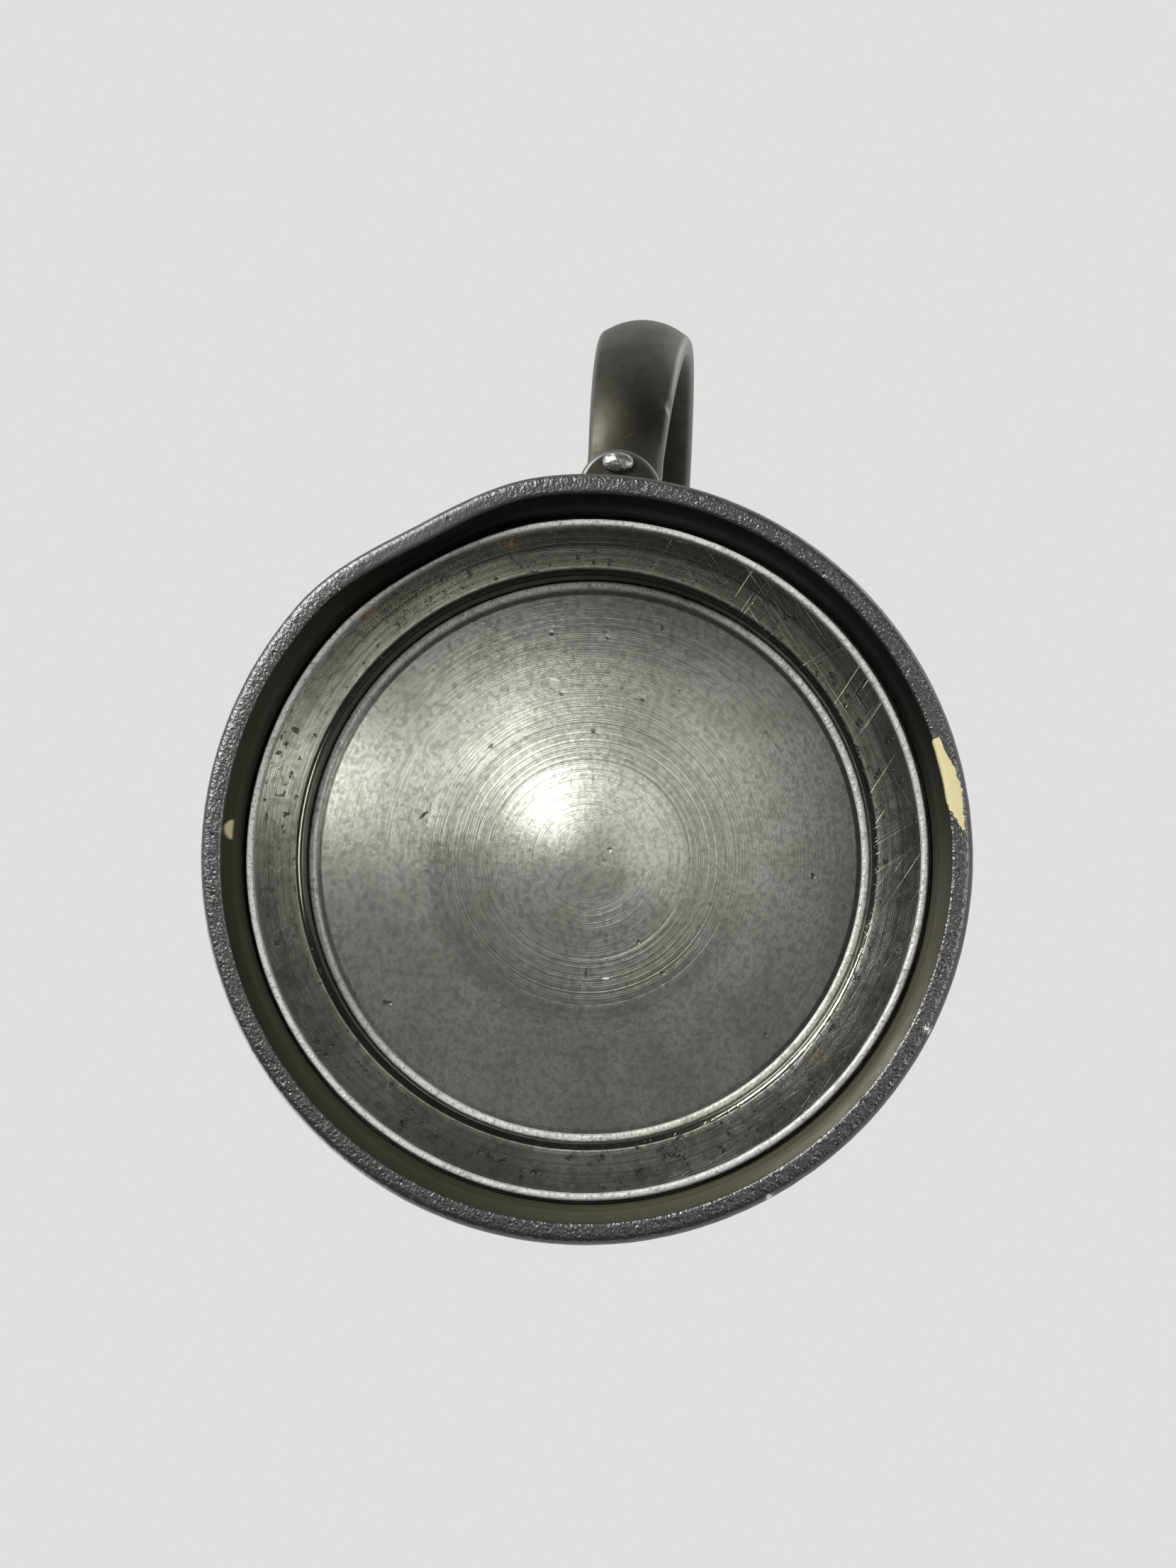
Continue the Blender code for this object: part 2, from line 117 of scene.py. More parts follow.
class Bench:
    """A node tree that is being wired up."""

    def __init__(self, tree):
        self.tree = tree

    def node(self, kind, settings, sockets, output=None):
        """Add a node: its settings first, then its sockets' values or links. Gives one output."""
        made = self.tree.nodes.new(kind)
        for name, value in settings.items():
            setattr(made, name, value)
        for key, value in sockets.items():
            named = [s for s in made.inputs if s.name == key and not s.is_unavailable]
            socket = named[0] if named else made.inputs[key]
            if isinstance(value, Wire):
                self.tree.links.new(value.socket, socket)
            else:
                socket.default_value = value
        ready = [s for s in made.outputs if not s.is_unavailable and output in (None, s.name)]
        return Wire(self, ready[0]) if ready else None


def part_of(place, axis):
    """One of a vector's X, Y and Z."""
    return place.bench.node("ShaderNodeSeparateXYZ", {}, {"Vector": place}, axis)


def rounded(corners):
    """A closed outline through (across, up, round) corners, each eased by its own round."""
    points = []
    for i, (x, z, ease) in enumerate(corners):
        corner = Vector((x, z))
        before = Vector(corners[i - 1][:2]) - corner
        after = Vector(corners[(i + 1) % len(corners)][:2]) - corner
        if ease == 0:
            points.append(corner)
            continue
        half = before.angle(after) / 2
        cut = min(ease / math.tan(half), before.length / 2, after.length / 2)
        start = corner + before.normalized() * cut
        end = corner + after.normalized() * cut
        for k in range(ROUND_STEPS + 1):
            share = k / ROUND_STEPS
            points.append(start.lerp(corner, share).lerp(corner.lerp(end, share), share))
    return points


def spaced(points, gap):
    """The same closed outline with no step longer than a gap."""
    finer = []
    for here, following in zip(points, points[1:] + points[:1]):
        parts = max(1, math.ceil((following - here).length / gap))
        finer += [here.lerp(following, k / parts) for k in range(parts)]
    return finer


def lathe_tree():
    """Nodes that turn an outline about an upright axis, then roughen it as a casting is rough."""
    tree = bpy.data.node_groups.new("turned_on_the_lathe", "GeometryNodeTree")
    inputs = {"Outline": "Geometry", "Steps": "Int", "Axis": "Vector", "Unevenness": "Float"}
    inputs |= {"Grain": "Float", "Seed": "Float", "Metal": "Material"}
    for name, kind in inputs.items():
        made = tree.interface.new_socket(name, in_out="INPUT", socket_type="NodeSocket" + kind)
        inputs[name] = made.identifier
    tree.interface.new_socket("Piece", in_out="OUTPUT", socket_type="NodeSocketGeometry")
    bench = Bench(tree)
    given = bench.node("NodeGroupInput", {}, {})
    outline = given.out("Outline")
    steps = given.out("Steps")
    count = bench.node(
        "GeometryNodeAttributeDomainSize",
        {"component": "MESH"},
        {"Geometry": outline},
        "Point Count",
    )
    rows = count + 1
    sizes = {"Vertices X": steps + 1, "Vertices Y": rows}
    grid = bench.node("GeometryNodeMeshGrid", {}, sizes, "Mesh")
    index = bench.node("GeometryNodeInputIndex", {}, {})
    column = ((index + 0.5) / rows).maths("FLOOR")
    row = (index - column * rows) % count
    place = bench.node("GeometryNodeInputPosition", {}, {})
    sample = bench.node(
        "GeometryNodeSampleIndex",
        {"data_type": "FLOAT_VECTOR", "domain": "POINT"},
        {"Geometry": outline, "Value": place, "Index": row + INDEX_NUDGE},
    )
    radius = part_of(sample, "X")
    turn = column / steps * math.tau
    parts = {"X": radius * turn.maths("COSINE"), "Y": radius * turn.maths("SINE")}
    spun = bench.node("ShaderNodeCombineXYZ", {}, parts | {"Z": part_of(sample, "Z")})
    on_axis = spun.vectors("ADD", given.out("Axis"))
    skin = bench.node("GeometryNodeSetPosition", {}, {"Geometry": grid, "Position": on_axis})
    welds = {"Geometry": skin, "Distance": WELD_GAP}
    closed = bench.node("GeometryNodeMergeByDistance", {}, welds)
    grain = bench.node(
        "ShaderNodeTexNoise",
        {"noise_dimensions": "4D"},
        {"Vector": place, "W": given.out("Seed"), "Scale": 1.0 / given.out("Grain"), "Detail": 3.0},
    )
    normal = bench.node("GeometryNodeInputNormal", {}, {})
    push = bench.node(
        "ShaderNodeVectorMath",
        {"operation": "SCALE"},
        {"Vector": normal, "Scale": (grain - 0.5) * given.out("Unevenness") * 2.0},
    )
    rough = bench.node("GeometryNodeSetPosition", {}, {"Geometry": closed, "Offset": push})
    real = bench.node("GeometryNodeRealizeInstances", {}, {"Geometry": rough})
    coats = {"Geometry": real, "Material": given.out("Metal")}
    coated = bench.node("GeometryNodeSetMaterial", {}, coats)
    bench.node("NodeGroupOutput", {}, {"Piece": coated})
    return tree, inputs


LATHE, LATHE_INPUTS = lathe_tree()


def closed_piece(name, bm, finish):
    """A finished piece from a mesh in the making: welded, facing outwards and smooth."""
    bmesh.ops.remove_doubles(bm, verts=bm.verts, dist=WELD_GAP)
    loose = [edge for edge in bm.edges if edge.is_wire]
    bmesh.ops.delete(bm, geom=loose, context="EDGES")
    bmesh.ops.recalc_face_normals(bm, faces=bm.faces)
    if bm.calc_volume(signed=True) < 0:
        bmesh.ops.reverse_faces(bm, faces=bm.faces)
    mesh = bpy.data.meshes.new(name)
    bm.to_mesh(mesh)
    bm.free()
    mesh.materials.append(finish)
    mesh.shade_smooth()
    mesh.set_sharp_from_angle(angle=SHARP_ANGLE)
    piece = bpy.data.objects.new(name, mesh)
    bpy.context.collection.objects.link(piece)
    return piece


def turned(
    name, outline, finish, steps=LATHE_STEPS, axis=(AXIS_X, 0.0), uneven=0.0, grain=0.01, seed=0.0
):
    """Turn a closed outline of (radius, height) points into a finished piece."""
    blank = bpy.data.meshes.new(name + "_outline")
    blank.from_pydata([(point.x, 0.0, point.y) for point in outline], [], [])
    form = bpy.data.objects.new(name + "_outline", blank)
    bpy.context.collection.objects.link(form)
    lathe = form.modifiers.new("lathe", "NODES")
    lathe.node_group = LATHE
    sizes = {"Steps": steps, "Axis": (*axis, 0.0), "Unevenness": uneven, "Grain": grain}
    sizes |= {"Seed": seed, "Metal": finish}
    for key, value in sizes.items():
        lathe[LATHE_INPUTS[key]] = value
    bpy.context.view_layer.update()
    graph = bpy.context.evaluated_depsgraph_get()
    mesh = bpy.data.meshes.new_from_object(form.evaluated_get(graph))
    form.modifiers.clear()
    bpy.data.objects.remove(form)
    bm = bmesh.new()
    bm.from_mesh(mesh)
    return closed_piece(name, bm, finish)


def seat(piece, node):
    """Put a finished piece in its node's place."""
    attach(piece, "root")
    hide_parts(node)


def new_finish(name):
    """A bare material and the bench to wire it on."""
    material = bpy.data.materials.new(name)
    material.use_nodes = True
    material.node_tree.nodes.clear()
    return material, Bench(material.node_tree)


def pot_finish(name):
    """A bare material, and where its points are, measured from the foot of the pot's axis."""
    material, bench = new_finish(name)
    place = bench.node("ShaderNodeTexCoord", {}, {}, "Object")
    shift = {"Vector": place, "Location": (-AXIS_X, 0.0, 0.0)}
    return material, bench.node("ShaderNodeMapping", {}, shift)


def axis_distance(place):
    """How far a point is from the pot's axis."""
    return place.vectors("MULTIPLY", (1.0, 1.0, 0.0)).vectors("LENGTH")


def noise(place, size, detail=3.0):
    """Cloudy values round 0.5, in blotches of about a size."""
    sockets = {"Vector": place, "Scale": 1.0 / size, "Detail": detail}
    return place.bench.node("ShaderNodeTexNoise", {}, sockets)


def lathe_lines(along, spacing):
    """Uneven lines that a lathe tool leaves, a spacing apart."""
    sockets = {"W": along / spacing, "Detail": 2.0}
    return along.bench.node("ShaderNodeTexNoise", {"noise_dimensions": "1D"}, sockets)


def between(value, low, high):
    """Soft step from 0 at low to 1 at high."""
    sockets = {"Value": value, "From Min": low, "From Max": high}
    return value.bench.node("ShaderNodeMapRange", {"interpolation_type": "SMOOTHSTEP"}, sockets)


def layered(colour, *layers):
    """A colour with (share, colour) layers laid over it, one after another."""
    for share, layer in layers:
        ends = [end if isinstance(end, Wire) else (*end, 1.0) for end in (colour, layer)]
        sockets = {"Factor": share, "A": ends[0], "B": ends[1]}
        colour = share.bench.node("ShaderNodeMix", {"data_type": "RGBA"}, sockets)
    return colour


def pits(place, size, share):
    """Small round pits, one in some of the cells of a size. Gives 1 at a pit's middle."""
    cells = place.bench.node("ShaderNodeTexVoronoi", {}, {"Vector": place, "Scale": 1.0 / size})
    chance = place.bench.node("ShaderNodeSeparateColor", {}, {"Color": cells.out("Color")})
    near = 1.0 - between(cells.out("Distance"), 0.05, 0.30)
    return near * between(chance, 1.0 - share, 1.05 - share)


def metal(colour, roughness, height, depth, metallic=1.0, brushed=0.0):
    """End a finish in worn metal. The height wire, times the depth, gives its relief, and brushed
    metal glints across the lines that run round its axis."""
    bench = colour.bench
    bumps = {"Strength": 1.0, "Distance": depth, "Height": height}
    bump = bench.node("ShaderNodeBump", {}, bumps)
    sockets = {"Base Color": colour, "Roughness": roughness, "Metallic": metallic, "Normal": bump}
    sockets |= {"Anisotropic": brushed, "Anisotropic Rotation": BRUSH_TURN}
    shader = bench.node("ShaderNodeBsdfPrincipled", {}, sockets)
    bench.node("ShaderNodeOutputMaterial", {}, {"Surface": shader})


def drum_radius(height):
    """Outer radius of the drum at a height."""
    return DRUM_FOOT_RADIUS - DRUM_TAPER * (height - DRUM_SEAT)


def body_finish():
    """Satin pewter with lathe lines, blotched and spotted grey outside and lighter inside."""
    material, place = pot_finish("body_pewter")
    height = part_of(place, "Z")
    foot_middle = DRUM_FOOT_RADIUS - DRUM_WALL / 2 + DRUM_SEAT * DRUM_TAPER
    wall_middle = foot_middle - height * DRUM_TAPER
    inside = between(wall_middle - axis_distance(place), -0.0003, 0.0003)
    lines = lathe_lines(height, spacing=0.0007)
    fine = lathe_lines(height, spacing=0.00022)
    cloud = noise(place, size=0.014, detail=5.0)
    waves = noise(place, size=0.006)
    spots = between(noise(place, size=0.0016, detail=4.0), 0.63, 0.72)
    dings = pits(place, size=0.009, share=0.25)
    shade = layered(
        BODY_COLOUR,
        (between(cloud, 0.35, 0.68) * 0.55, BODY_SHADE),
        (inside, INSIDE_COLOUR),
        (spots * 0.45, SPOT_COLOUR),
    )
    roughness = 0.19 + 0.08 * cloud + 0.10 * inside + 0.05 * lines
    relief = lines * 1.6 + fine * 0.5 - dings * 8.0 + waves * 3.0
    metal(shade, roughness, relief, TURNED_RELIEF, brushed=0.5)
    return material


BODY_PEWTER = body_finish()
drum_outline = rounded([
    (DRUM_FOOT_RADIUS, DRUM_SEAT, 0),
    (DRUM_TOP_RADIUS, POT_HEIGHT, RIM_ROUND),
    (DRUM_TOP_RADIUS - DRUM_WALL, POT_HEIGHT, RIM_ROUND),
    (DRUM_FOOT_RADIUS - DRUM_WALL, DRUM_SEAT, 0),
])
drum = turned("drum_body", spaced(drum_outline, DRUM_STEP), BODY_PEWTER)
seat(drum, "drum")


# Step ring: the turned pewter ring under the drum whose flat land shows as the satin band, with a
# wall that rises from the land's soft inner edge to the floor plate. It is soldered into the foot.
COLLAR_LOW, COLLAR_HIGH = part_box("base_collar")
LAND_HEIGHT = COLLAR_LOW.z
COLLAR_TOP = COLLAR_HIGH.z
LAND_RADIUS = (COLLAR_HIGH.y - COLLAR_LOW.y) / 2
LAND_DISH = 0.00004
LAND_SWEEP = 0.02
COLLAR_BORE = 0.0404
COLLAR_WALL = 0.0018
COLLAR_SHOULDER = DRUM_SEAT - 0.0003
COLLAR_EDGE_ROUND = 0.0011
COLLAR_TOP_ROUND = 0.0003
COLLAR_STEP = 0.0006
SMALL_ROUND = 0.0002
BASE_STEPS = 360
DENT_TURN = math.radians(-32)
DENT_HALF_WIDTH = math.radians(21)
DENT_DEPTH = 0.0015
DENT_FULL_HEIGHT = 0.0035
DENT_FADE_HEIGHT = 0.0100
DENT_INNER_RADIUS = DRUM_FOOT_RADIUS
DENT_OUTER_RADIUS = 0.0510
BASE_COLOUR = (0.275, 0.28, 0.24)
BASE_SHADE = (0.137, 0.14, 0.113)
PLATE_COLOUR = (0.442, 0.45, 0.405)
RUST_COLOUR = (0.19, 0.085, 0.03)
# The land and the foot's recess are painted darker towards one turn and lighter towards another:
# painted shade and painted light.
SHADED_SIDE_TURN = math.radians(12)
LIT_SIDE_TURN = math.radians(128)
LIT_SIDE_START = 0.010
STAIN_TURN = math.radians(126)
STAIN_RADIUS = 0.0434
STAIN_SIZE = 0.0016
RUST_TURNS = (DENT_TURN - 0.25, DENT_TURN + 0.24)
RUST_RADIUS = LAND_RADIUS - 0.0012
RUST_SIZE = 0.0022
LAND_SCRATCHES = ((0.5, 0.030), (0.95, 0.025), (2.5, 0.025))
LAND_SCRATCH_WIDTH = 0.0003


def eased(value):
    """Smooth step from 0 to 1, held outside that range."""
    value = np.clip(value, 0.0, 1.0)
    return value * value * (3 - 2 * value)


def knocked(piece):
    """Push a piece in at the dent in the foot: deepest at the face, gone at the drum."""
    mesh = piece.data
    points = np.empty(len(mesh.vertices) * 3)
    mesh.vertices.foreach_get("co", points)
    points = points.reshape(-1, 3)
    x, y, z = points[:, 0] - AXIS_X, points[:, 1], points[:, 2]
    radius = np.maximum(np.hypot(x, y), 1e-6)
    turn = np.abs(np.arctan2(y, x) - DENT_TURN)
    across = eased(1 - turn / DENT_HALF_WIDTH)
    down = eased((DENT_FADE_HEIGHT - z) / (DENT_FADE_HEIGHT - DENT_FULL_HEIGHT))
    out = eased((radius - DENT_INNER_RADIUS) / (DENT_OUTER_RADIUS - DENT_INNER_RADIUS))
    scale = 1 - DENT_DEPTH * across * down * out / radius
    points[:, 0] = AXIS_X + x * scale
    points[:, 1] = y * scale
    mesh.vertices.foreach_set("co", points.ravel())
    mesh.update()


def on_pot(turn, radius, height):
    """The place at a turn and a radius about the pot's axis, and at a height."""
    return (radius * math.cos(turn), radius * math.sin(turn), height)


def towards(place, turn):
    """How far a point lies towards a turn about the pot's axis."""
    return place.vectors("DOT_PRODUCT", on_pot(turn, 1.0, 0.0))


def spot(place, turn, radius, height, size):
    """A soft ragged spot at a turn and a radius about the pot's axis."""
    away = place.vectors("DISTANCE", on_pot(turn, radius, height))
    ragged = away + (noise(place, size / 2, detail=4.0) - 0.5) * size * 1.6
    return 1.0 - between(ragged, size * 0.3, size)


def local_to(place, **own_frame):
    """A place as it is in a frame with its own Location, Rotation and Scale."""
    sockets = {"Vector": place} | own_frame
    return place.bench.node("ShaderNodeMapping", {"vector_type": "TEXTURE"}, sockets)


def scratches(place, turn, length, width, amount):
    """Fine straight strokes at a turn. Gives 1 on a stroke."""
    lying = local_to(place, Rotation=(0.0, 0.0, turn))
    stretched = lying.vectors("MULTIPLY", (1.0 / length, 1.0 / width, 1.0 / length))
    return between(noise(stretched, size=1.0, detail=2.0), 0.80 - amount, 0.86 - amount)


def step_finish():
    """Turned pewter, dull and blotched, with brown specks, rubbed strokes and rust by the dent. It
    has painted shade on the side by the handle and painted light on the side across from it."""
    material, place = pot_finish("step_pewter")
    height = part_of(place, "Z")
    along = axis_distance(place) + height
    lines = lathe_lines(along, spacing=0.0006)
    streaks = lathe_lines(along, spacing=0.0012)
    # The foot of the wall beside the land is painted dark as a painted shadow, darkest on the
    # shaded side and lightest on the lit side.
    wall = between(height, LAND_HEIGHT + 0.0001, LAND_HEIGHT + 0.0007)
    # Painted shade on the side by the handle, and painted light on the side across from it.
    dark = between(towards(place, SHADED_SIDE_TURN), 0.0, LAND_RADIUS)
    light = between(towards(place, LIT_SIDE_TURN), LIT_SIDE_START, LAND_RADIUS)
    cloud = noise(place, size=0.009, detail=5.0)
    mottle = noise(place, size=0.0015, detail=5.0)
    specks = between(noise(place, size=0.0011, detail=4.0), 0.62, 0.72)
    sets = [scratches(place, *lie, LAND_SCRATCH_WIDTH, amount=0.17) for lie in LAND_SCRATCHES]
    strokes = sets[0].maths("MAXIMUM", sets[1]).maths("MAXIMUM", sets[2])
    strokes = strokes * (0.2 + 0.8 * between(part_of(place, "Y"), -0.010, 0.025))
    rusty = spot(place, STAIN_TURN, STAIN_RADIUS, LAND_HEIGHT, STAIN_SIZE)
    for turn in RUST_TURNS:
        rusty = rusty + spot(place, turn, RUST_RADIUS, LAND_HEIGHT, RUST_SIZE)
    rusty = rusty * between(noise(place, size=0.0007), 0.42, 0.60)
    shade = layered(
        BASE_COLOUR,
        (light, PLATE_COLOUR),
        (between(cloud, 0.32, 0.70) * 0.7, BASE_SHADE),
        (dark * 0.75, SPOT_COLOUR),
        (between(streaks, 0.45, 0.60) * 0.40, BASE_SHADE),
        (between(lines, 0.46, 0.58) * 0.50, BASE_SHADE),
        (between(mottle, 0.48, 0.64) * 0.40, SPOT_COLOUR),
        (specks * 0.6, SPOT_COLOUR),
        (strokes * 0.35, PLATE_COLOUR),
        (wall * (0.6 + 0.2 * dark - 0.5 * light), SPOT_COLOUR),
        (rusty * 0.7, RUST_COLOUR),
    )
    roughness = 0.10 + 0.04 * cloud + 0.04 * lines + 0.2 * rusty + 0.24 * wall
    relief = lines * 1.2 - strokes * 1.5 - specks * 4.0
    metal(shade, roughness, relief, TURNED_RELIEF, 1.0 - 0.7 * rusty, brushed=0.5)
    return material


collar_outline = rounded([
    (COLLAR_BORE + COLLAR_WALL, COLLAR_SHOULDER, 0),
    (COLLAR_BORE + COLLAR_WALL, COLLAR_TOP, COLLAR_TOP_ROUND),
    (COLLAR_BORE, COLLAR_TOP, SMALL_ROUND),
    (COLLAR_BORE, LAND_HEIGHT + LAND_DISH, COLLAR_EDGE_ROUND),
    ((COLLAR_BORE + LAND_RADIUS) / 2, LAND_HEIGHT, LAND_SWEEP),
    (LAND_RADIUS, LAND_HEIGHT + LAND_DISH, SMALL_ROUND),
    (LAND_RADIUS, COLLAR_SHOULDER, 0),
])
collar = turned("step_ring", spaced(collar_outline, COLLAR_STEP), step_finish(), BASE_STEPS)
knocked(collar)
seat(collar, "base_collar")


# Floor plate: the round pewter floor of the pot. Its underside is the big turned disc, with fine
# rings from the lathe and a few nicks. It lies on the step ring's wall, soldered along its edge.
PLATE_LOW, PLATE_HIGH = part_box("base_plate")
PLATE_RADIUS = (PLATE_HIGH.y - PLATE_LOW.y) / 2
PLATE_HEIGHT = PLATE_LOW.z
PLATE_TOP = PLATE_HIGH.z
PLATE_FLAT_RADIUS = 0.0384
PLATE_FLAT_ROUND = 0.004
PLATE_EDGE_RISE = 0.00010
PLATE_TOP_ROUND = 0.0005
PLATE_STEP = 0.002
PLATE_SHADE = (0.365, 0.37, 0.32)
RING_BAND_INNER = 0.0125
RING_BAND_OUTER = 0.0250
RING_BAND_FADE = 0.003
RING_WANDER = 0.00008
CENTRE_FADE = (0.001, 0.010)
# Each mark's turn in degrees, radius, tilt in degrees, length and width.
PLATE_NICKS = (
    (-79.3, 0.0245, 46, 0.0017, 0.0006),
    (13.1, 0.0351, 153, 0.0012, 0.0005),
    (-130.0, 0.0354, 91, 0.0014, 0.0007),
    (176.5, 0.0163, 175, 0.0017, 0.0004),
    (130.0, 0.0355, 0, 0.0007, 0.0006),
    (89.7, 0.0322, 0, 0.0008, 0.0008),
    (144.0, 0.0138, 40, 0.0007, 0.0006),
    (142.4, 0.0194, 70, 0.0009, 0.0006),
)
# The glints are painted highlights: pale marks, partly not metal, that stay bright under any lamp.
PLATE_GLINTS = (
    (-15.2, 0.0265, 99, 0.0026, 0.0005),
    (166.7, 0.0172, 79, 0.0012, 0.0004),
)
SOLDER_COLOUR = (0.86, 0.85, 0.80)


def mark(place, height, turn, radius, tilt, length, width):
    """A short straight mark at a turn and a radius, lying at a tilt. Gives 1 inside it."""
    local = local_to(
        place,
        Location=on_pot(math.radians(turn), radius, height),
        Rotation=(0.0, 0.0, math.radians(tilt)),
        Scale=(length / 2, width / 2, 1.0),
    )
    ragged = (noise(place, width) - 0.5) * 1.2
    return 1.0 - between(local.vectors("LENGTH") + ragged, 0.6, 1.0)


def plate_finish():
    """Bright turned pewter: lathe rings, strongest half way out, a soft tarnish and small nicks.
    Two pale marks are painted highlights.
    """
    material, place = pot_finish("plate_pewter")
    radius = axis_distance(place)
    wander = radius + (noise(place, size=0.02) - 0.5) * RING_WANDER
    lines = lathe_lines(wander, spacing=0.0005)
    rings = lathe_lines(wander, spacing=0.0009) - 0.5
    outer = between(radius, RING_BAND_OUTER - RING_BAND_FADE, RING_BAND_OUTER)
    band = between(radius, RING_BAND_INNER, RING_BAND_INNER + RING_BAND_FADE) * (1.0 - outer)
    cloud = noise(place, size=0.010, detail=6.0)
    mottle = noise(place, size=0.0011, detail=5.0)
    grain = noise(place, size=0.0006, detail=2.0)
    specks = pits(place, size=0.0017, share=0.04)
    nicked = sum(mark(place, PLATE_HEIGHT, *nick) for nick in PLATE_NICKS)
    glinting = sum(mark(place, PLATE_HEIGHT, *glint) for glint in PLATE_GLINTS)
    shade = layered(
        PLATE_COLOUR,
        (between(cloud, 0.40, 0.62) * 0.8, PLATE_SHADE),
        (between(mottle, 0.46, 0.62) * 0.26, BASE_SHADE),
        (between(grain, 0.46, 0.64) * 0.22, BASE_SHADE),
        (between(lines, 0.46, 0.58) * (band * 0.32 + 0.18), BASE_SHADE),
        (between(rings, 0.0, 0.08) * (band * 0.20 + 0.08), BASE_SHADE),
        (specks * 0.6 + nicked * 0.8, SPOT_COLOUR),
        (glinting, SOLDER_COLOUR),
    )
    roughness = 0.07 + 0.02 * cloud + 0.03 * grain + 0.04 * outer + 0.1 * glinting + 0.2 * nicked
    cut = lines * (band * 0.3 + 0.45) + rings * (band * 0.4 + 0.3)
    relief = cut * between(radius, *CENTRE_FADE) + grain * 0.4 - specks * 3.0 - nicked * 16.0
    metal(shade, roughness, relief, TURNED_RELIEF, 1.0 - 0.8 * glinting, brushed=0.15)
    return material


plate_outline = rounded([
    (0.0, PLATE_HEIGHT, 0),
    (PLATE_FLAT_RADIUS, PLATE_HEIGHT, PLATE_FLAT_ROUND),
    (COLLAR_BORE, PLATE_HEIGHT + PLATE_EDGE_RISE, 0),
    (PLATE_RADIUS, PLATE_HEIGHT + PLATE_EDGE_RISE, SMALL_ROUND),
    (PLATE_RADIUS, PLATE_TOP, PLATE_TOP_ROUND),
    (0.0, PLATE_TOP, 0),
])
plate = turned("floor_plate", spaced(plate_outline, PLATE_STEP), plate_finish(), BASE_STEPS)
seat(plate, "base_plate")


# Solder rings: the two bright, grainy runs of solder in the corners of the base, one where the
# floor plate meets the step ring and one where that meets the foot, run in hot and brushed.
BASE_SEAM_LOW, BASE_SEAM_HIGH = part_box("base_seam")
FOOT_SEAM_LOW, FOOT_SEAM_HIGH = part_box("foot_seam")
BASE_SEAM_LEG = BASE_SEAM_HIGH.z - BASE_SEAM_LOW.z
FOOT_SEAM_LEG = FOOT_SEAM_HIGH.z - FOOT_SEAM_LOW.z
FOOT_SEAM_WIDTH = 0.0011
BEAD_STEPS = 20
BEAD_FLATNESS = 0.6
ROUGH_STEPS = 480
FIT_GAP = 0.0003
SOLDER_SHADE = (0.30, 0.295, 0.26)
ROUGH_RELIEF = 0.00012


def solder_finish(name, colour):
    """Solder with a crumbly skin and dull dirt in its hollows."""
    material, place = pot_finish(name)
    grain = noise(place, size=0.00045)
    lumps = noise(place, size=0.0016, detail=4.0)
    shade = layered(
        colour,
        (between(lumps, 0.52, 0.72) * 0.5, SOLDER_SHADE),
        (between(grain, 0.52, 0.68) * 0.5, SPOT_COLOUR),
    )
    metal(shade, 0.38 + 0.14 * lumps, grain + lumps * 1.5, ROUGH_RELIEF, metallic=0.30)
    return material


def bead(radius, height, width, depth):
    """Outline of a run of solder in a corner: a ridge with a brushed, nearly flat crest."""
    points = []
    for k in range(BEAD_STEPS + 1):
        turn = math.pi * k / BEAD_STEPS
        across = math.copysign(abs(math.cos(turn)) ** BEAD_FLATNESS, math.cos(turn))
        crest = math.sin(turn) ** BEAD_FLATNESS
        points.append(Vector((radius + (across - 1) * width / 2, height - depth * crest)))
    return points


SOLDER = solder_finish("solder_metal", SOLDER_COLOUR)
inner_run = bead(COLLAR_BORE - FIT_GAP / 3, PLATE_HEIGHT + FIT_GAP, BASE_SEAM_LEG, BASE_SEAM_LEG)
inner_ring = turned(
    "inner_solder_ring", inner_run, SOLDER, ROUGH_STEPS, uneven=0.00005, grain=0.0011, seed=3
)
seat(inner_ring, "base_seam")
outer_run = bead(LAND_RADIUS - FIT_GAP / 2, LAND_HEIGHT + FIT_GAP, FOOT_SEAM_WIDTH, FOOT_SEAM_LEG)
outer_ring = turned(
    "outer_solder_ring", outer_run, SOLDER, ROUGH_STEPS, uneven=0.00006, grain=0.0012, seed=8
)
knocked(outer_ring)
seat(outer_ring, "foot_seam")


# Foot: the flared pewter casting round the lower end of the drum, soldered on, which takes all the
# knocks. Its face is worn rough and pitted, with flakes of old cream paint, and it is dented beside
# the handle.
FOOT_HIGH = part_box("foot_ring")[1]
FOOT_RADIUS = FOOT_HIGH.y
FOOT_HEIGHT = FOOT_HIGH.z
FOOT_SKIN = 0.00004
FOOT_STEP = 0.0004
FACE_INNER_RADIUS = DENT_OUTER_RADIUS
FACE_INNER_ROUND = 0.0005
FACE_SETBACK = 0.0004
FACE_OUTER_ROUND = 0.0018
RECESS_TOP_RADIUS = LAND_RADIUS + FIT_GAP
FOOT_EDGE_LOW = 0.0020
FOOT_EDGE_HIGH = 0.0044
FOOT_EDGE_STEP = 0.0007
FOOT_EDGE_ROUNDS = (0.001, 0.0005)
FOOT_NECK_HEIGHT = 0.0110
FOOT_SWEEP_SAG = 0.0010
FOOT_TOP_WALL = 0.0011
FOOT_BEAD_DEPTH = 0.0014
FOOT_CURVE_STEPS = 24
FOOT_COLOUR = (0.17, 0.17, 0.163)
FOOT_SHADE = (0.10, 0.10, 0.094)
FACE_COLOUR = (0.19, 0.19, 0.187)
RIM_COLOUR = (0.055, 0.055, 0.050)
RIM_START = (0.0520, 0.0530)
RECESS_COLOUR = (0.086, 0.084, 0.057)
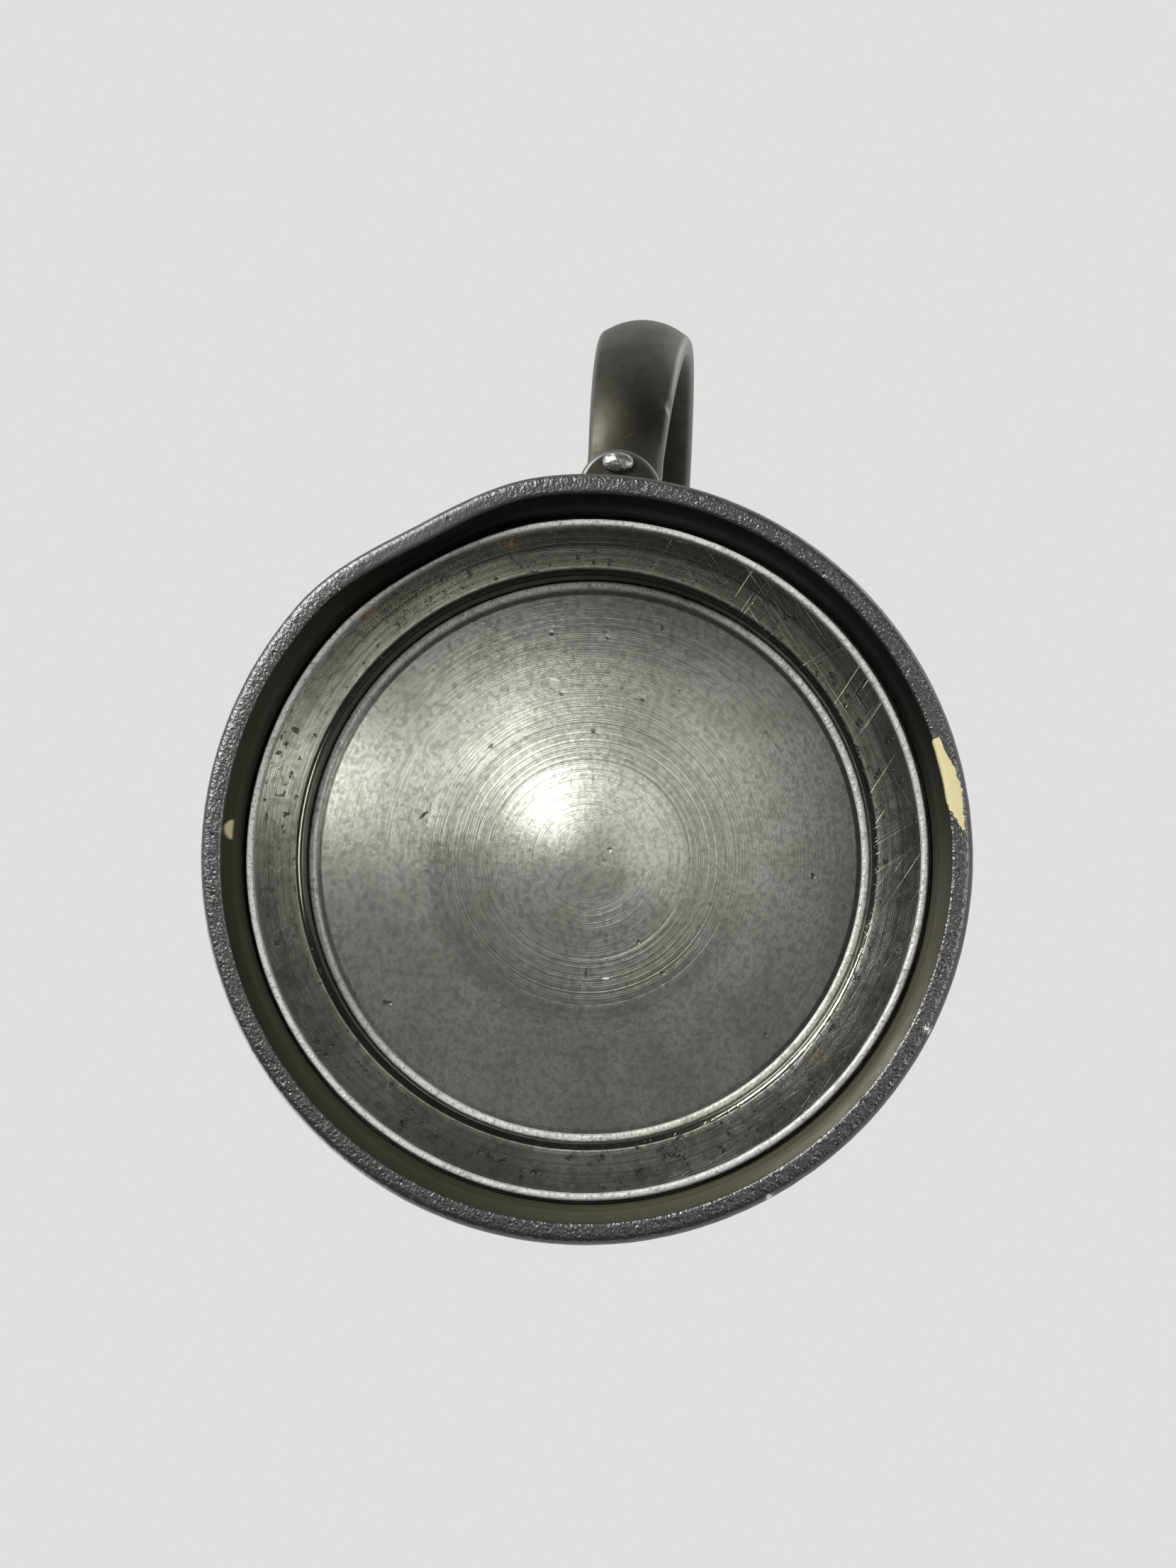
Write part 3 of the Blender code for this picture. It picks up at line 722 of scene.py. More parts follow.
# The darkest recess colour marks dirt in the lathe streaks and also paints shade by the handle. The
# lightest recess colour paints light across from it.
RECESS_DIRT_AND_SHADE = (0.008, 0.008, 0.007)
RECESS_LIT = (0.155, 0.15, 0.105)
PAINT_COLOUR = (0.92, 0.82, 0.46)
PAINT_TURN = math.radians(74.9)
PAINT_HALF_LENGTH = 0.0069
PAINT_INNER = (0.0508, 0.0527)
PAINT_OUTER = (0.0524, 0.0535)
PAINT_RAGGED = 0.0016
PAINT_EDGE = 0.00008
PAINT_TOP = (0.0010, 0.0014)
PAINT_CHIP = (-90.2, 0.0502, 0, 0.0030, 0.0027)
PAINT_CHIP_TOP = (0.0026, 0.0031)
# Each bright chip's turn, radius, height and size.
FOOT_CHIPS = (
    (math.radians(112.4), 0.0534, 0.0006, 0.0010),
    (math.radians(146.9), 0.0540, 0.0009, 0.0009),
)


def paint_flakes(place, radius, height):
    """The big ragged flake of paint, which narrows to one end, and the small one across from it."""
    slide = towards(place, PAINT_TURN + math.pi / 2)
    along = slide / PAINT_HALF_LENGTH
    ragged = (noise(place, size=0.0014, detail=5.0) - 0.5) * PAINT_RAGGED
    inner = PAINT_INNER[0] + (PAINT_INNER[1] - PAINT_INNER[0]) * between(along, 0.1, 1.0)
    outer = PAINT_OUTER[0] + (PAINT_OUTER[1] - PAINT_OUTER[0]) * between(along, -1.0, 0.2)
    end = PAINT_HALF_LENGTH - slide.maths("ABSOLUTE") + ragged * 2.0
    flake = between(radius - inner + ragged, 0.0, PAINT_EDGE)
    flake = flake * between(outer - radius + ragged, 0.0, PAINT_EDGE)
    flake = flake * between(end, 0.0, 0.0001) * between(towards(place, PAINT_TURN), 0.0, 0.001)
    flake = flake * (1.0 - between(height, *PAINT_TOP))
    chip = mark(place, 0.0, *PAINT_CHIP) * (1.0 - between(height, *PAINT_CHIP_TOP))
    return flake.maths("MAXIMUM", chip)


def foot_finish():
    """Dull cast pewter: a rough, pitted face, a rim painted dark, a satin outside and flakes of
    paint. The recess has painted shade by the handle and painted light across from it."""
    material, place = pot_finish("foot_pewter")
    radius = axis_distance(place)
    height = part_of(place, "Z")
    face = 1.0 - between(height, 0.0002, 0.0011)
    recess = 1.0 - between(radius, FACE_INNER_RADIUS + 0.0002, FACE_INNER_RADIUS + 0.0007)
    recess = recess * between(height, 0.0003, 0.0009)
    recess = recess * (1.0 - between(height, LAND_HEIGHT, LAND_HEIGHT + 0.0005))
    # The rim along the outer edge of the face is painted dark as a painted reflection of a dark
    # room.
    rim = between(height, 0.0001, 0.0007) * (1.0 - between(height, FOOT_EDGE_LOW, FOOT_EDGE_HIGH))
    rim = rim * between(radius, *RIM_START)
    # Painted shade darkens the recess on the side by the handle, and painted light lightens it
    # across from it.
    shaded_side = between(towards(place, SHADED_SIDE_TURN), 0.0, LAND_RADIUS * 0.8)
    lightened = between(towards(place, LIT_SIDE_TURN), LIT_SIDE_START, LAND_RADIUS)
    grain = noise(place, size=0.00045, detail=2.0)
    coarse = noise(place, size=0.0013)
    cloud = noise(place, size=0.008, detail=4.0)
    holes = pits(place, size=0.0014, share=0.22)
    lines = lathe_lines(radius + height, spacing=0.0006)
    streaks = lathe_lines(height, spacing=0.0009)
    from_knock = place.vectors("DISTANCE", on_pot(DENT_TURN, DENT_OUTER_RADIUS, 0.0))
    crumbly = 0.35 + 0.65 * between(from_knock, 0.004, 0.020)
    paint = paint_flakes(place, radius, height)
    face_shade = layered(
        FACE_COLOUR,
        (between(grain, 0.50, 0.72) * 0.45 * crumbly, FOOT_SHADE),
        (holes * 0.5, SPOT_COLOUR),
    )
    recess_shade = layered(
        RECESS_COLOUR,
        (lightened, RECESS_LIT),
        (between(streaks, 0.40, 0.62) * 0.5, RECESS_DIRT_AND_SHADE),
        (shaded_side, RECESS_DIRT_AND_SHADE),
    )
    shade = layered(
        FOOT_COLOUR,
        (between(cloud, 0.35, 0.70), FOOT_SHADE),
        (face, face_shade),
        (rim * 0.8, RIM_COLOUR),
        (recess, recess_shade),
        (sum(spot(place, *chip) for chip in FOOT_CHIPS), SOLDER_COLOUR),
        (paint, PAINT_COLOUR),
    )
    roughness = 0.34 + 0.08 * cloud - recess * 0.06 + rim * 0.08 + paint * 0.2
    crumbs = face * (grain * 1.3 + coarse * 1.3 - holes) * (1.0 - paint) * crumbly
    relief = crumbs + lines * 0.1 + paint * 0.6
    metal(shade, roughness, relief, ROUGH_RELIEF, (1.0 - paint) * (1.0 - recess * 0.6))
    return material


def foot_outline():
    """Outline of the foot, from the inner edge of its face round its outside to the recess."""
    outer = FOOT_RADIUS - FOOT_SKIN
    sweep_out = FOOT_RADIUS - FOOT_EDGE_STEP
    points = rounded([
        (FACE_INNER_RADIUS, FOOT_SKIN, FACE_INNER_ROUND),
        (FOOT_RADIUS - FACE_SETBACK, FOOT_SKIN, FACE_OUTER_ROUND),
        (outer, FOOT_EDGE_LOW, FOOT_EDGE_ROUNDS[0]),
        (outer, FOOT_EDGE_HIGH - FOOT_EDGE_STEP / 2, FOOT_EDGE_ROUNDS[1]),
        (sweep_out, FOOT_EDGE_HIGH, 0),
    ])
    neck = drum_radius(FOOT_NECK_HEIGHT) + FIT_GAP + FOOT_TOP_WALL
    shares = [k / FOOT_CURVE_STEPS for k in range(1, FOOT_CURVE_STEPS + 1)]
    for share in shares:
        sag = FOOT_SWEEP_SAG * math.sin(math.pi * share)
        rise = FOOT_EDGE_HIGH + (FOOT_NECK_HEIGHT - FOOT_EDGE_HIGH) * share
        points.append(Vector((sweep_out + (neck - sweep_out) * share - sag, rise)))
    for share in shares:
        rise = FOOT_NECK_HEIGHT + (FOOT_HEIGHT - FOOT_NECK_HEIGHT) * share
        swell = FOOT_BEAD_DEPTH * math.sin(math.pi * share)
        points.append(Vector((drum_radius(rise) + FIT_GAP + FOOT_TOP_WALL + swell, rise)))
    back = (
        (drum_radius(FOOT_HEIGHT) + FIT_GAP / 3, FOOT_HEIGHT),
        (DRUM_FOOT_RADIUS + FIT_GAP, DRUM_SEAT),
        (RECESS_TOP_RADIUS, DRUM_SEAT),
        (RECESS_TOP_RADIUS, LAND_HEIGHT),
    )
    return points + [Vector(point) for point in back]


foot_run = spaced(foot_outline(), FOOT_STEP)
foot = turned(
    "flared_foot", foot_run, foot_finish(), ROUGH_STEPS, uneven=0.00007, grain=0.0016, seed=5
)
knocked(foot)
seat(foot, "foot_ring")


# Girdle and lip: two half-round mouldings turned in pewter and soldered round the drum, a reeded
# one low on the body and a single one just under the rim.
GIRDLE_LOW, GIRDLE_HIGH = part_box("girdle_band")
GIRDLE_DEPTH = 0.0012
GIRDLE_REEDS = 2
LIP_LOW, LIP_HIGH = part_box("lip_band")
LIP_DEPTH = 0.0014
LIP_REEDS = 1
REED_STEPS = 16
BAND_EDGE = 0.0004


def moulding(low, high, depth, reeds):
    """Outline of a moulding on the drum, in one or more round reeds."""
    points = []
    steps = reeds * REED_STEPS
    for k in range(steps + 1):
        height = low + (high - low) * k / steps
        swell = (depth - BAND_EDGE) * abs(math.sin(math.pi * k / REED_STEPS))
        points.append(Vector((drum_radius(height) + BAND_EDGE + FIT_GAP + swell, height)))
    return points + [Vector((drum_radius(end) + FIT_GAP / 6, end)) for end in (high, low)]


girdle_outline = moulding(GIRDLE_LOW.z, GIRDLE_HIGH.z, GIRDLE_DEPTH, GIRDLE_REEDS)
girdle = turned("girdle_moulding", girdle_outline, BODY_PEWTER)
seat(girdle, "girdle_band")
lip = turned("lip_moulding", moulding(LIP_LOW.z, LIP_HIGH.z, LIP_DEPTH, LIP_REEDS), BODY_PEWTER)
seat(lip, "lip_band")


# Lug: a round-ended pewter tongue soldered to the drum just above the foot, which carries the lower
# end of the handle. It is cast, filed to shape, and dark with handling.
LUG_LOW, LUG_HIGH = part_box("handle_lug")
LUG_HEIGHT = LUG_LOW.z
LUG_TOP = LUG_HIGH.z
LUG_REACH = LUG_HIGH.x - AXIS_X
LUG_HALF_WIDTH = LUG_HIGH.y
LUG_TIP_LENGTH = 0.0070
LUG_TIP_LEAN = 0.0006
LUG_TIP_STEPS = 40
LUG_ROOT_STEPS = 12
LUG_EDGE_ROUND = 0.0008
LUG_EDGE_STEPS = 5
# The marked edges are rubbed lighter and also painted lighter as a painted edge highlight.
EDGE_WEAR_AND_SHEEN = "worn"
HANDLE_COLOUR = (0.074, 0.072, 0.059)
HANDLE_SHADE = (0.042, 0.038, 0.026)
HANDLE_WEAR_AND_SHEEN = (0.22, 0.22, 0.21)
HANDLE_RELIEF = 0.00001


def handle_finish(name):
    """Dark handled pewter, olive and brown with grease, rubbed lighter along its edges and painted
    lighter there as a painted edge highlight.
    """
    material, place = pot_finish(name)
    worn = place.bench.node("ShaderNodeAttribute", {"attribute_name": EDGE_WEAR_AND_SHEEN}, {}, "Fac")
    cloud = noise(place, size=0.009, detail=5.0)
    mottle = noise(place, size=0.0022, detail=4.0)
    grain = noise(place, size=0.0006, detail=2.0)
    strokes = scratches(place, turn=0.9, length=0.006, width=0.00025, amount=0.06)
    shade = layered(
        HANDLE_COLOUR,
        (between(cloud, 0.34, 0.66) * 0.7, HANDLE_SHADE),
        (between(mottle, 0.46, 0.66) * 0.45, HANDLE_SHADE),
        (worn * 0.8, HANDLE_WEAR_AND_SHEEN),
        (strokes * 0.3, HANDLE_WEAR_AND_SHEEN),
    )
    roughness = 0.38 + 0.08 * cloud + 0.08 * mottle
    relief = mottle * 0.6 + grain * 0.3 - strokes * 0.5
    metal(shade, roughness, relief, HANDLE_RELIEF)
    return material


def lug_outline():
    """Outline of the tongue seen from above, from its root round its tip."""
    radius = drum_radius(LUG_HEIGHT) + FIT_GAP / 2
    points = []
    for k in range(LUG_TIP_STEPS + 1):
        turn = math.pi * (k / LUG_TIP_STEPS - 0.5)
        tip = LUG_REACH - LUG_TIP_LENGTH * (1 - math.cos(turn))
        points.append((tip, LUG_HALF_WIDTH * math.sin(turn) - LUG_TIP_LEAN * math.cos(turn)))
    for k in range(LUG_ROOT_STEPS + 1):
        side = LUG_HALF_WIDTH * (1 - 2 * k / LUG_ROOT_STEPS)
        points.append((math.sqrt(radius**2 - side**2), side))
    return points


def build_lug():
    """The tongue, with its lower edge eased and marked for rubbed wear and a painted highlight."""
    bm = bmesh.new()
    worn = bm.verts.layers.float.new(EDGE_WEAR_AND_SHEEN)
    outline = [bm.verts.new((AXIS_X + x, y, LUG_HEIGHT)) for x, y in lug_outline()]
    face = bm.faces.new(outline)
    raised = bmesh.ops.extrude_face_region(bm, geom=[face])
    lifted = [item for item in raised["geom"] if isinstance(item, bmesh.types.BMVert)]
    bmesh.ops.translate(bm, verts=lifted, vec=(0, 0, LUG_TOP - LUG_HEIGHT))
    root = AXIS_X + drum_radius(LUG_HEIGHT) + FIT_GAP
    tip_edges = [edge for edge in face.edges if max(v.co.x for v in edge.verts) > root]
    easing = {"offset": LUG_EDGE_ROUND, "segments": LUG_EDGE_STEPS, "profile": 0.5}
    bmesh.ops.bevel(bm, geom=tip_edges, affect="EDGES", **easing)
    for vert in bm.verts:
        share = (vert.co.z - LUG_HEIGHT) / LUG_EDGE_ROUND
        vert[worn] = 1.0 if 0.02 < share < 0.98 and vert.co.x > root else 0.0
    return bm


lug = closed_piece("handle_tongue", build_lug(), handle_finish("lug_pewter"))
seat(lug, "handle_lug")


# Strap: the cast pewter C-shaped handle, crowned on its back and flat inside, from a tail that lies
# on the lug, out round the grip, to the upper body. Hands have rubbed its edges bright, and the
# edges are painted lighter still as a painted highlight.
STRAP_LOW, STRAP_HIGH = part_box("handle_strap")
HANDLE_REACH = STRAP_HIGH.x - AXIS_X
GRIP_HEIGHT = 0.0600
UPPER_ROOT_HEIGHT = 0.0945
UPPER_ROOT_RISE = math.radians(10)
BOW_ROUNDNESS = 0.55
# Each section's width, thickness and crown.
TAIL_SECTION = np.array((0.0112, 0.0046, 0.0009))
GRIP_SECTION = np.array((0.0142, 0.0058, 0.0025))
TOP_SECTION = np.array((2 * STRAP_HIGH.y, 0.0064, 0.0024))
STRAP_EDGE_EASE = 0.0009
STRAP_EDGE_ROUND = 0.0016
STRAP_COLUMNS = 11
STRAP_FLAT_SHARE = 0.66
# Where the strap's edges start to be painted lighter, as wear and as a painted highlight, and how
# soft that start is.
WEAR_AND_SHEEN_SHARE = 0.86
WEAR_AND_SHEEN_FADE = 0.12
TAIL_STATIONS = 10
BOW_STATIONS = 60
TAIL_HEIGHT = STRAP_LOW.z + TAIL_SECTION[1] / 2
NICK_PLACE = Vector((0.0691, 0.0061, 0.0221))
NICK_SIZE = 0.0016
NICK_DEPTH = 0.0005


def strap_outline(section, grow=0.0):
    """Outline across the strap as (sideways, outward) points with eased edges."""
    width, thickness, crown = section[0] + 2 * grow, section[1] + 2 * grow, section[2]
    sides = np.linspace(STRAP_FLAT_SHARE, -STRAP_FLAT_SHARE, STRAP_COLUMNS)
    sides = np.concatenate(([1.0], sides, [-1.0]))
    back = [(side, thickness / 2 - crown * side**2) for side in sides]
    inside = [(side, STRAP_EDGE_EASE * side**6 - thickness / 2) for side in sides[::-1]]
    corners = []
    for side, out in back + inside:
        ease = STRAP_EDGE_ROUND if abs(side) == 1.0 else 0
        corners.append((side * width / 2, out, ease))
    return rounded(corners)


def bow(start, first, second, end, shares):
    """Points on a cubic curve in the handle's upright plane."""
    shares = np.asarray(shares)[:, None]
    rest = 1 - shares
    start, first, second, end = (np.array(point) for point in (start, first, second, end))
    leaving = rest**3 * start + 3 * rest**2 * shares * first
    return leaving + 3 * rest * shares**2 * second + shares**3 * end


def strap_stations():
    """Places, directions and sections along the strap, from its lower root to its upper one."""
    grip = (HANDLE_REACH - GRIP_SECTION[1] / 2, GRIP_HEIGHT)
    leg_end = (LUG_REACH, TAIL_HEIGHT)
    upper = (drum_radius(UPPER_ROOT_HEIGHT) + FIT_GAP, UPPER_ROOT_HEIGHT)
    past_leg = (LUG_REACH + BOW_ROUNDNESS * (grip[0] - LUG_REACH), TAIL_HEIGHT)
    below_grip = (grip[0], GRIP_HEIGHT - BOW_ROUNDNESS * (GRIP_HEIGHT - TAIL_HEIGHT))
    above_grip = (grip[0], GRIP_HEIGHT + BOW_ROUNDNESS * (UPPER_ROOT_HEIGHT - GRIP_HEIGHT))
    pull = BOW_ROUNDNESS * (grip[0] - upper[0])
    rise = pull * math.sin(UPPER_ROOT_RISE)
    off_root = (upper[0] + pull * math.cos(UPPER_ROOT_RISE), upper[1] + rise)
    tail_shares = np.linspace(0, 1, TAIL_STATIONS, endpoint=False)[:, None]
    root = np.array((drum_radius(TAIL_HEIGHT), TAIL_HEIGHT))
    tail = root + (np.array(leg_end) - root) * tail_shares
    low_shares = np.linspace(0, 1, BOW_STATIONS, endpoint=False)
    high_shares = np.linspace(0, 1, BOW_STATIONS + 1)
    low = bow(leg_end, past_leg, below_grip, grip, low_shares)
    high = bow(grip, above_grip, off_root, upper, high_shares)
    places = np.vstack((tail, low, high))
    along = np.gradient(places, axis=0)
    along /= np.linalg.norm(along, axis=1)[:, None]
    low_mix = (low[:, :1] - LUG_REACH) / (grip[0] - LUG_REACH)
    high_mix = eased(high_shares)[:, None]
    sections = np.vstack((
        np.repeat(TAIL_SECTION[None], TAIL_STATIONS, axis=0),
        TAIL_SECTION + (GRIP_SECTION - TAIL_SECTION) * low_mix,
        GRIP_SECTION + (TOP_SECTION - GRIP_SECTION) * high_mix,
    ))
    return places, along, sections


def section_ring(place, along, outline):
    """Points of an outline set square to the strap's direction."""
    outward = (along[1], -along[0])
    return [
        Vector((AXIS_X + place[0] + out * outward[0], side, place[1] + out * outward[1]))
        for side, out in outline
    ]


def coped(ring):
    """Slide points level until they lie on the drum."""
    made = []
    for point in ring:
        reach = math.sqrt((drum_radius(point.z) + FIT_GAP / 6) ** 2 - point.y**2)
        made.append(Vector((AXIS_X + reach, point.y, point.z)))
    return made


def loft(bm, rings, closed=True):
    """Skin rings of points and give back their vertices."""
    loops = [[bm.verts.new(point) for point in ring] for ring in rings]
    for low, high in zip(loops, loops[1:]):
        for i in range(len(low) if closed else len(low) - 1):
            j = (i + 1) % len(low)
            bm.faces.new((low[i], low[j], high[j], high[i]))
    return loops


def build_strap():
    """The whole strap, with one nick in its edge, and its edges marked for rubbed wear and a
    painted highlight in its finish.
    """
    rings, lightened = [], []
    for place, way, section in zip(*strap_stations()):
        outline = strap_outline(section)
        rings.append(section_ring(place, way, outline))
        shares = [abs(point.x) * 2 / section[0] for point in outline]
        lightened += [float(eased((share - WEAR_AND_SHEEN_SHARE) / WEAR_AND_SHEEN_FADE)) for share in shares]
    rings[0] = coped(rings[0])
    rings[-1] = coped(rings[-1])
    for ring in rings:
        for point in ring:
            away = (point - NICK_PLACE - Vector((AXIS_X, 0, 0))).length
            point.y -= NICK_DEPTH * float(eased(1 - away / NICK_SIZE))
    bm = bmesh.new()
    worn = bm.verts.layers.float.new(EDGE_WEAR_AND_SHEEN)
    loops = loft(bm, rings)
    bm.faces.new(loops[0])
    bm.faces.new(loops[-1])
    for vert, value in zip([vert for loop in loops for vert in loop], lightened):
        vert[worn] = value
    return bm


strap = closed_piece("strap_handle", build_strap(), handle_finish("strap_pewter"))
seat(strap, "handle_strap")


# Rivet: a soft metal pin through the lug and the strap's tail, hammered over at both ends. The
# lower head is the bright, uneven button that shows under the handle.
RIVET_LOW, RIVET_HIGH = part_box("handle_rivet")
RIVET_X = (RIVET_LOW.x + RIVET_HIGH.x) / 2
RIVET_Y = (RIVET_LOW.y + RIVET_HIGH.y) / 2
RIVET_HEAD_RADIUS = (RIVET_HIGH.y - RIVET_LOW.y) / 2
RIVET_SHANK_RADIUS = 0.0010
RIVET_HEAD_HEIGHT = 0.0010
RIVET_OVAL = (0.80, 1.22)
RIVET_HEAD_STEPS = 14
RIVET_STEPS = 64
RIVET_COLOUR = (0.44, 0.44, 0.43)
RIVET_RELIEF = 0.00010


def rivet_finish():
    """Bright hammered metal with dirt in the hammer marks."""
    material, place = pot_finish("rivet_metal")
    marks = noise(place, size=0.0009)
    grain = noise(place, size=0.0003, detail=2.0)
    shade = layered(RIVET_COLOUR, (between(marks, 0.45, 0.68), SOLDER_SHADE))
    metal(shade, 0.30 + 0.15 * marks, marks * 2.0 + grain * 0.5, RIVET_RELIEF)
    return material


def rivet_outline():
    """Outline of the rivet: a head, the shank, and a like head on top."""
    head = []
    for k in range(RIVET_HEAD_STEPS + 1):
        turn = math.pi / 2 * k / RIVET_HEAD_STEPS
        head.append((RIVET_HEAD_RADIUS * math.sin(turn), RIVET_HEAD_HEIGHT * math.cos(turn)))
    low = RIVET_LOW.z + RIVET_HEAD_HEIGHT
    high = RIVET_HIGH.z - RIVET_HEAD_HEIGHT
    points = [Vector((radius, low - rise)) for radius, rise in head]
    points += [Vector((RIVET_SHANK_RADIUS, low)), Vector((RIVET_SHANK_RADIUS, high))]
    points += [Vector((radius, high + rise)) for radius, rise in head[::-1]]
    return points


rivet_skin = {"uneven": 0.00016, "grain": 0.0012, "seed": 2}
rivet = turned(
    "tail_rivet", rivet_outline(), rivet_finish(), RIVET_STEPS, (RIVET_X, RIVET_Y), **rivet_skin
)
rivet.data.transform(Matrix.Translation((-RIVET_X, -RIVET_Y, 0)))
rivet.data.transform(Matrix.Diagonal((*RIVET_OVAL, 1.0, 1.0)))
rivet.data.transform(Matrix.Translation((RIVET_X, RIVET_Y, 0)))
seat(rivet, "handle_rivet")


# Root solder: the fillets that hold the strap to the drum, right round its upper end and along the
# top of its tail. The solder is run in, then scraped hollow.
ROOT_FILLET = 0.0015
FILLET_STEPS = 6
ROOT_SOLDER_COLOUR = (0.40, 0.40, 0.375)


def fillet_rows(end, off_drum, kept=slice(None)):
    """Rows of points of a hollow fillet at an end of the strap, down to the drum and back under."""
    place, along, section = (listed[end] for listed in strap_stations())
    rows = []
    for k in range(FILLET_STEPS + 1):
        turn = math.pi / 2 * k / FILLET_STEPS
        lift = ROOT_FILLET * (1 - math.sin(turn))
        spread = ROOT_FILLET * (1 - math.cos(turn)) + FIT_GAP / 6
        lifted = place + off_drum * lift * along
        ring = section_ring(lifted, along, strap_outline(section, spread)[kept])
        rows.append(coped(ring) if k == FILLET_STEPS else ring)
    rows.append(coped(section_ring(place, along, strap_outline(section, FIT_GAP / 6)[kept])))
    return rows


ROOT_SOLDER = solder_finish("root_solder_metal", ROOT_SOLDER_COLOUR)
rows = fillet_rows(-1, -1)
bm = bmesh.new()
loft(bm, rows + rows[:1])
seat(closed_piece("upper_root_fillet", bm, ROOT_SOLDER), "upper_root_solder")

half = len(strap_outline(TAIL_SECTION)) // 2
rows = fillet_rows(0, 1, slice(half, None))
bm = bmesh.new()
loft(bm, rows + rows[:1], closed=False)
bmesh.ops.remove_doubles(bm, verts=bm.verts, dist=WELD_GAP)
bmesh.ops.holes_fill(bm, edges=bm.edges, sides=0)
seat(closed_piece("lower_root_fillet", bm, ROOT_SOLDER), "lower_root_solder")


# Stage: a pale floor under the pot that only shows from above, a pale room overhead, and soft
# lamps. The camera looks up at the underside of the pot from below, a little off its axis.
FLOOR_SIZE = 5.0
FLOOR_COLOUR = (0.80, 0.80, 0.79)
# Each window's middle, and its half lengths along X and Y.
POT_WINDOW = (AXIS_X, 0.066, 0.066)
HANDLE_WINDOW = (AXIS_X + 0.10, 0.13, 0.06)
WINDOW_EDGE = (0.94, 1.0)
ROOM_PALE = (0.74, 0.74, 0.74)
ROOM_DARK = (0.060, 0.060, 0.057)
ROOM_FADE = (-0.14, -0.02)
POT_MIDDLE = (0.0, 0.0, 0.05)
BASE_MIDDLE = (AXIS_X, 0.0, 0.01)
# Each lamp's place, aim, size and watts. The windows light the body. The lamps under the pot mirror
# in its floor plate and its step ring as a hot spot, a half-moon of light and a glare.
LAMPS = {
    "window_left": ((-0.5, -0.9, 1.1), POT_MIDDLE, 0.8, 7.0),
    "window_right": ((0.9, 0.7, 0.9), POT_MIDDLE, 0.7, 3.0),
    "base_key": ((AXIS_X + 0.077, -0.066, -0.69), BASE_MIDDLE, 0.024, 0.017),
    "base_bar": ((AXIS_X + 0.080, -0.067, -0.70), BASE_MIDDLE, 0.046, 0.011),
    "base_bar_end": ((AXIS_X + 0.078, -0.014, -0.70), BASE_MIDDLE, 0.046, 0.010),
    "base_patch": ((AXIS_X + 0.047, -0.002, -0.69), BASE_MIDDLE, 0.024, 0.0025),
    "base_wedge": ((AXIS_X + 0.081, -0.115, -0.69), BASE_MIDDLE, 0.050, 0.0022),
    "base_soft": ((AXIS_X, -0.060, -0.72), BASE_MIDDLE, 0.25, 0.045),
    "base_glint": ((AXIS_X + 0.074, -0.157, -0.69), BASE_MIDDLE, 0.028, 0.030),
    "base_left": ((AXIS_X + 0.45, -0.58, -0.55), BASE_MIDDLE, 0.40, 8.0),
    "base_right": ((AXIS_X + 0.05, 0.65, -0.60), BASE_MIDDLE, 0.35, 2.2),
}
CAMERA_PLACE = Vector((AXIS_X - 0.03230, 0.02847, -0.4500))
CAMERA_AIM = Vector((AXIS_X + 0.00986, -0.00021, 0.0))
CAMERA_ROLL = 0.0835
CAMERA_NEAR = 0.01
FOCAL_PIXELS = 4554.0
PHOTO_HEIGHT = 2212
SENSOR = 36.0


def outside_window(place, window):
    """1 outside an oval window in the floor, 0 inside it."""
    middle, half_x, half_y = window
    scaled = local_to(place, Location=(middle, 0.0, 0.0), Scale=(half_x, half_y, 1.0))
    return between(scaled.vectors("LENGTH"), *WINDOW_EDGE)


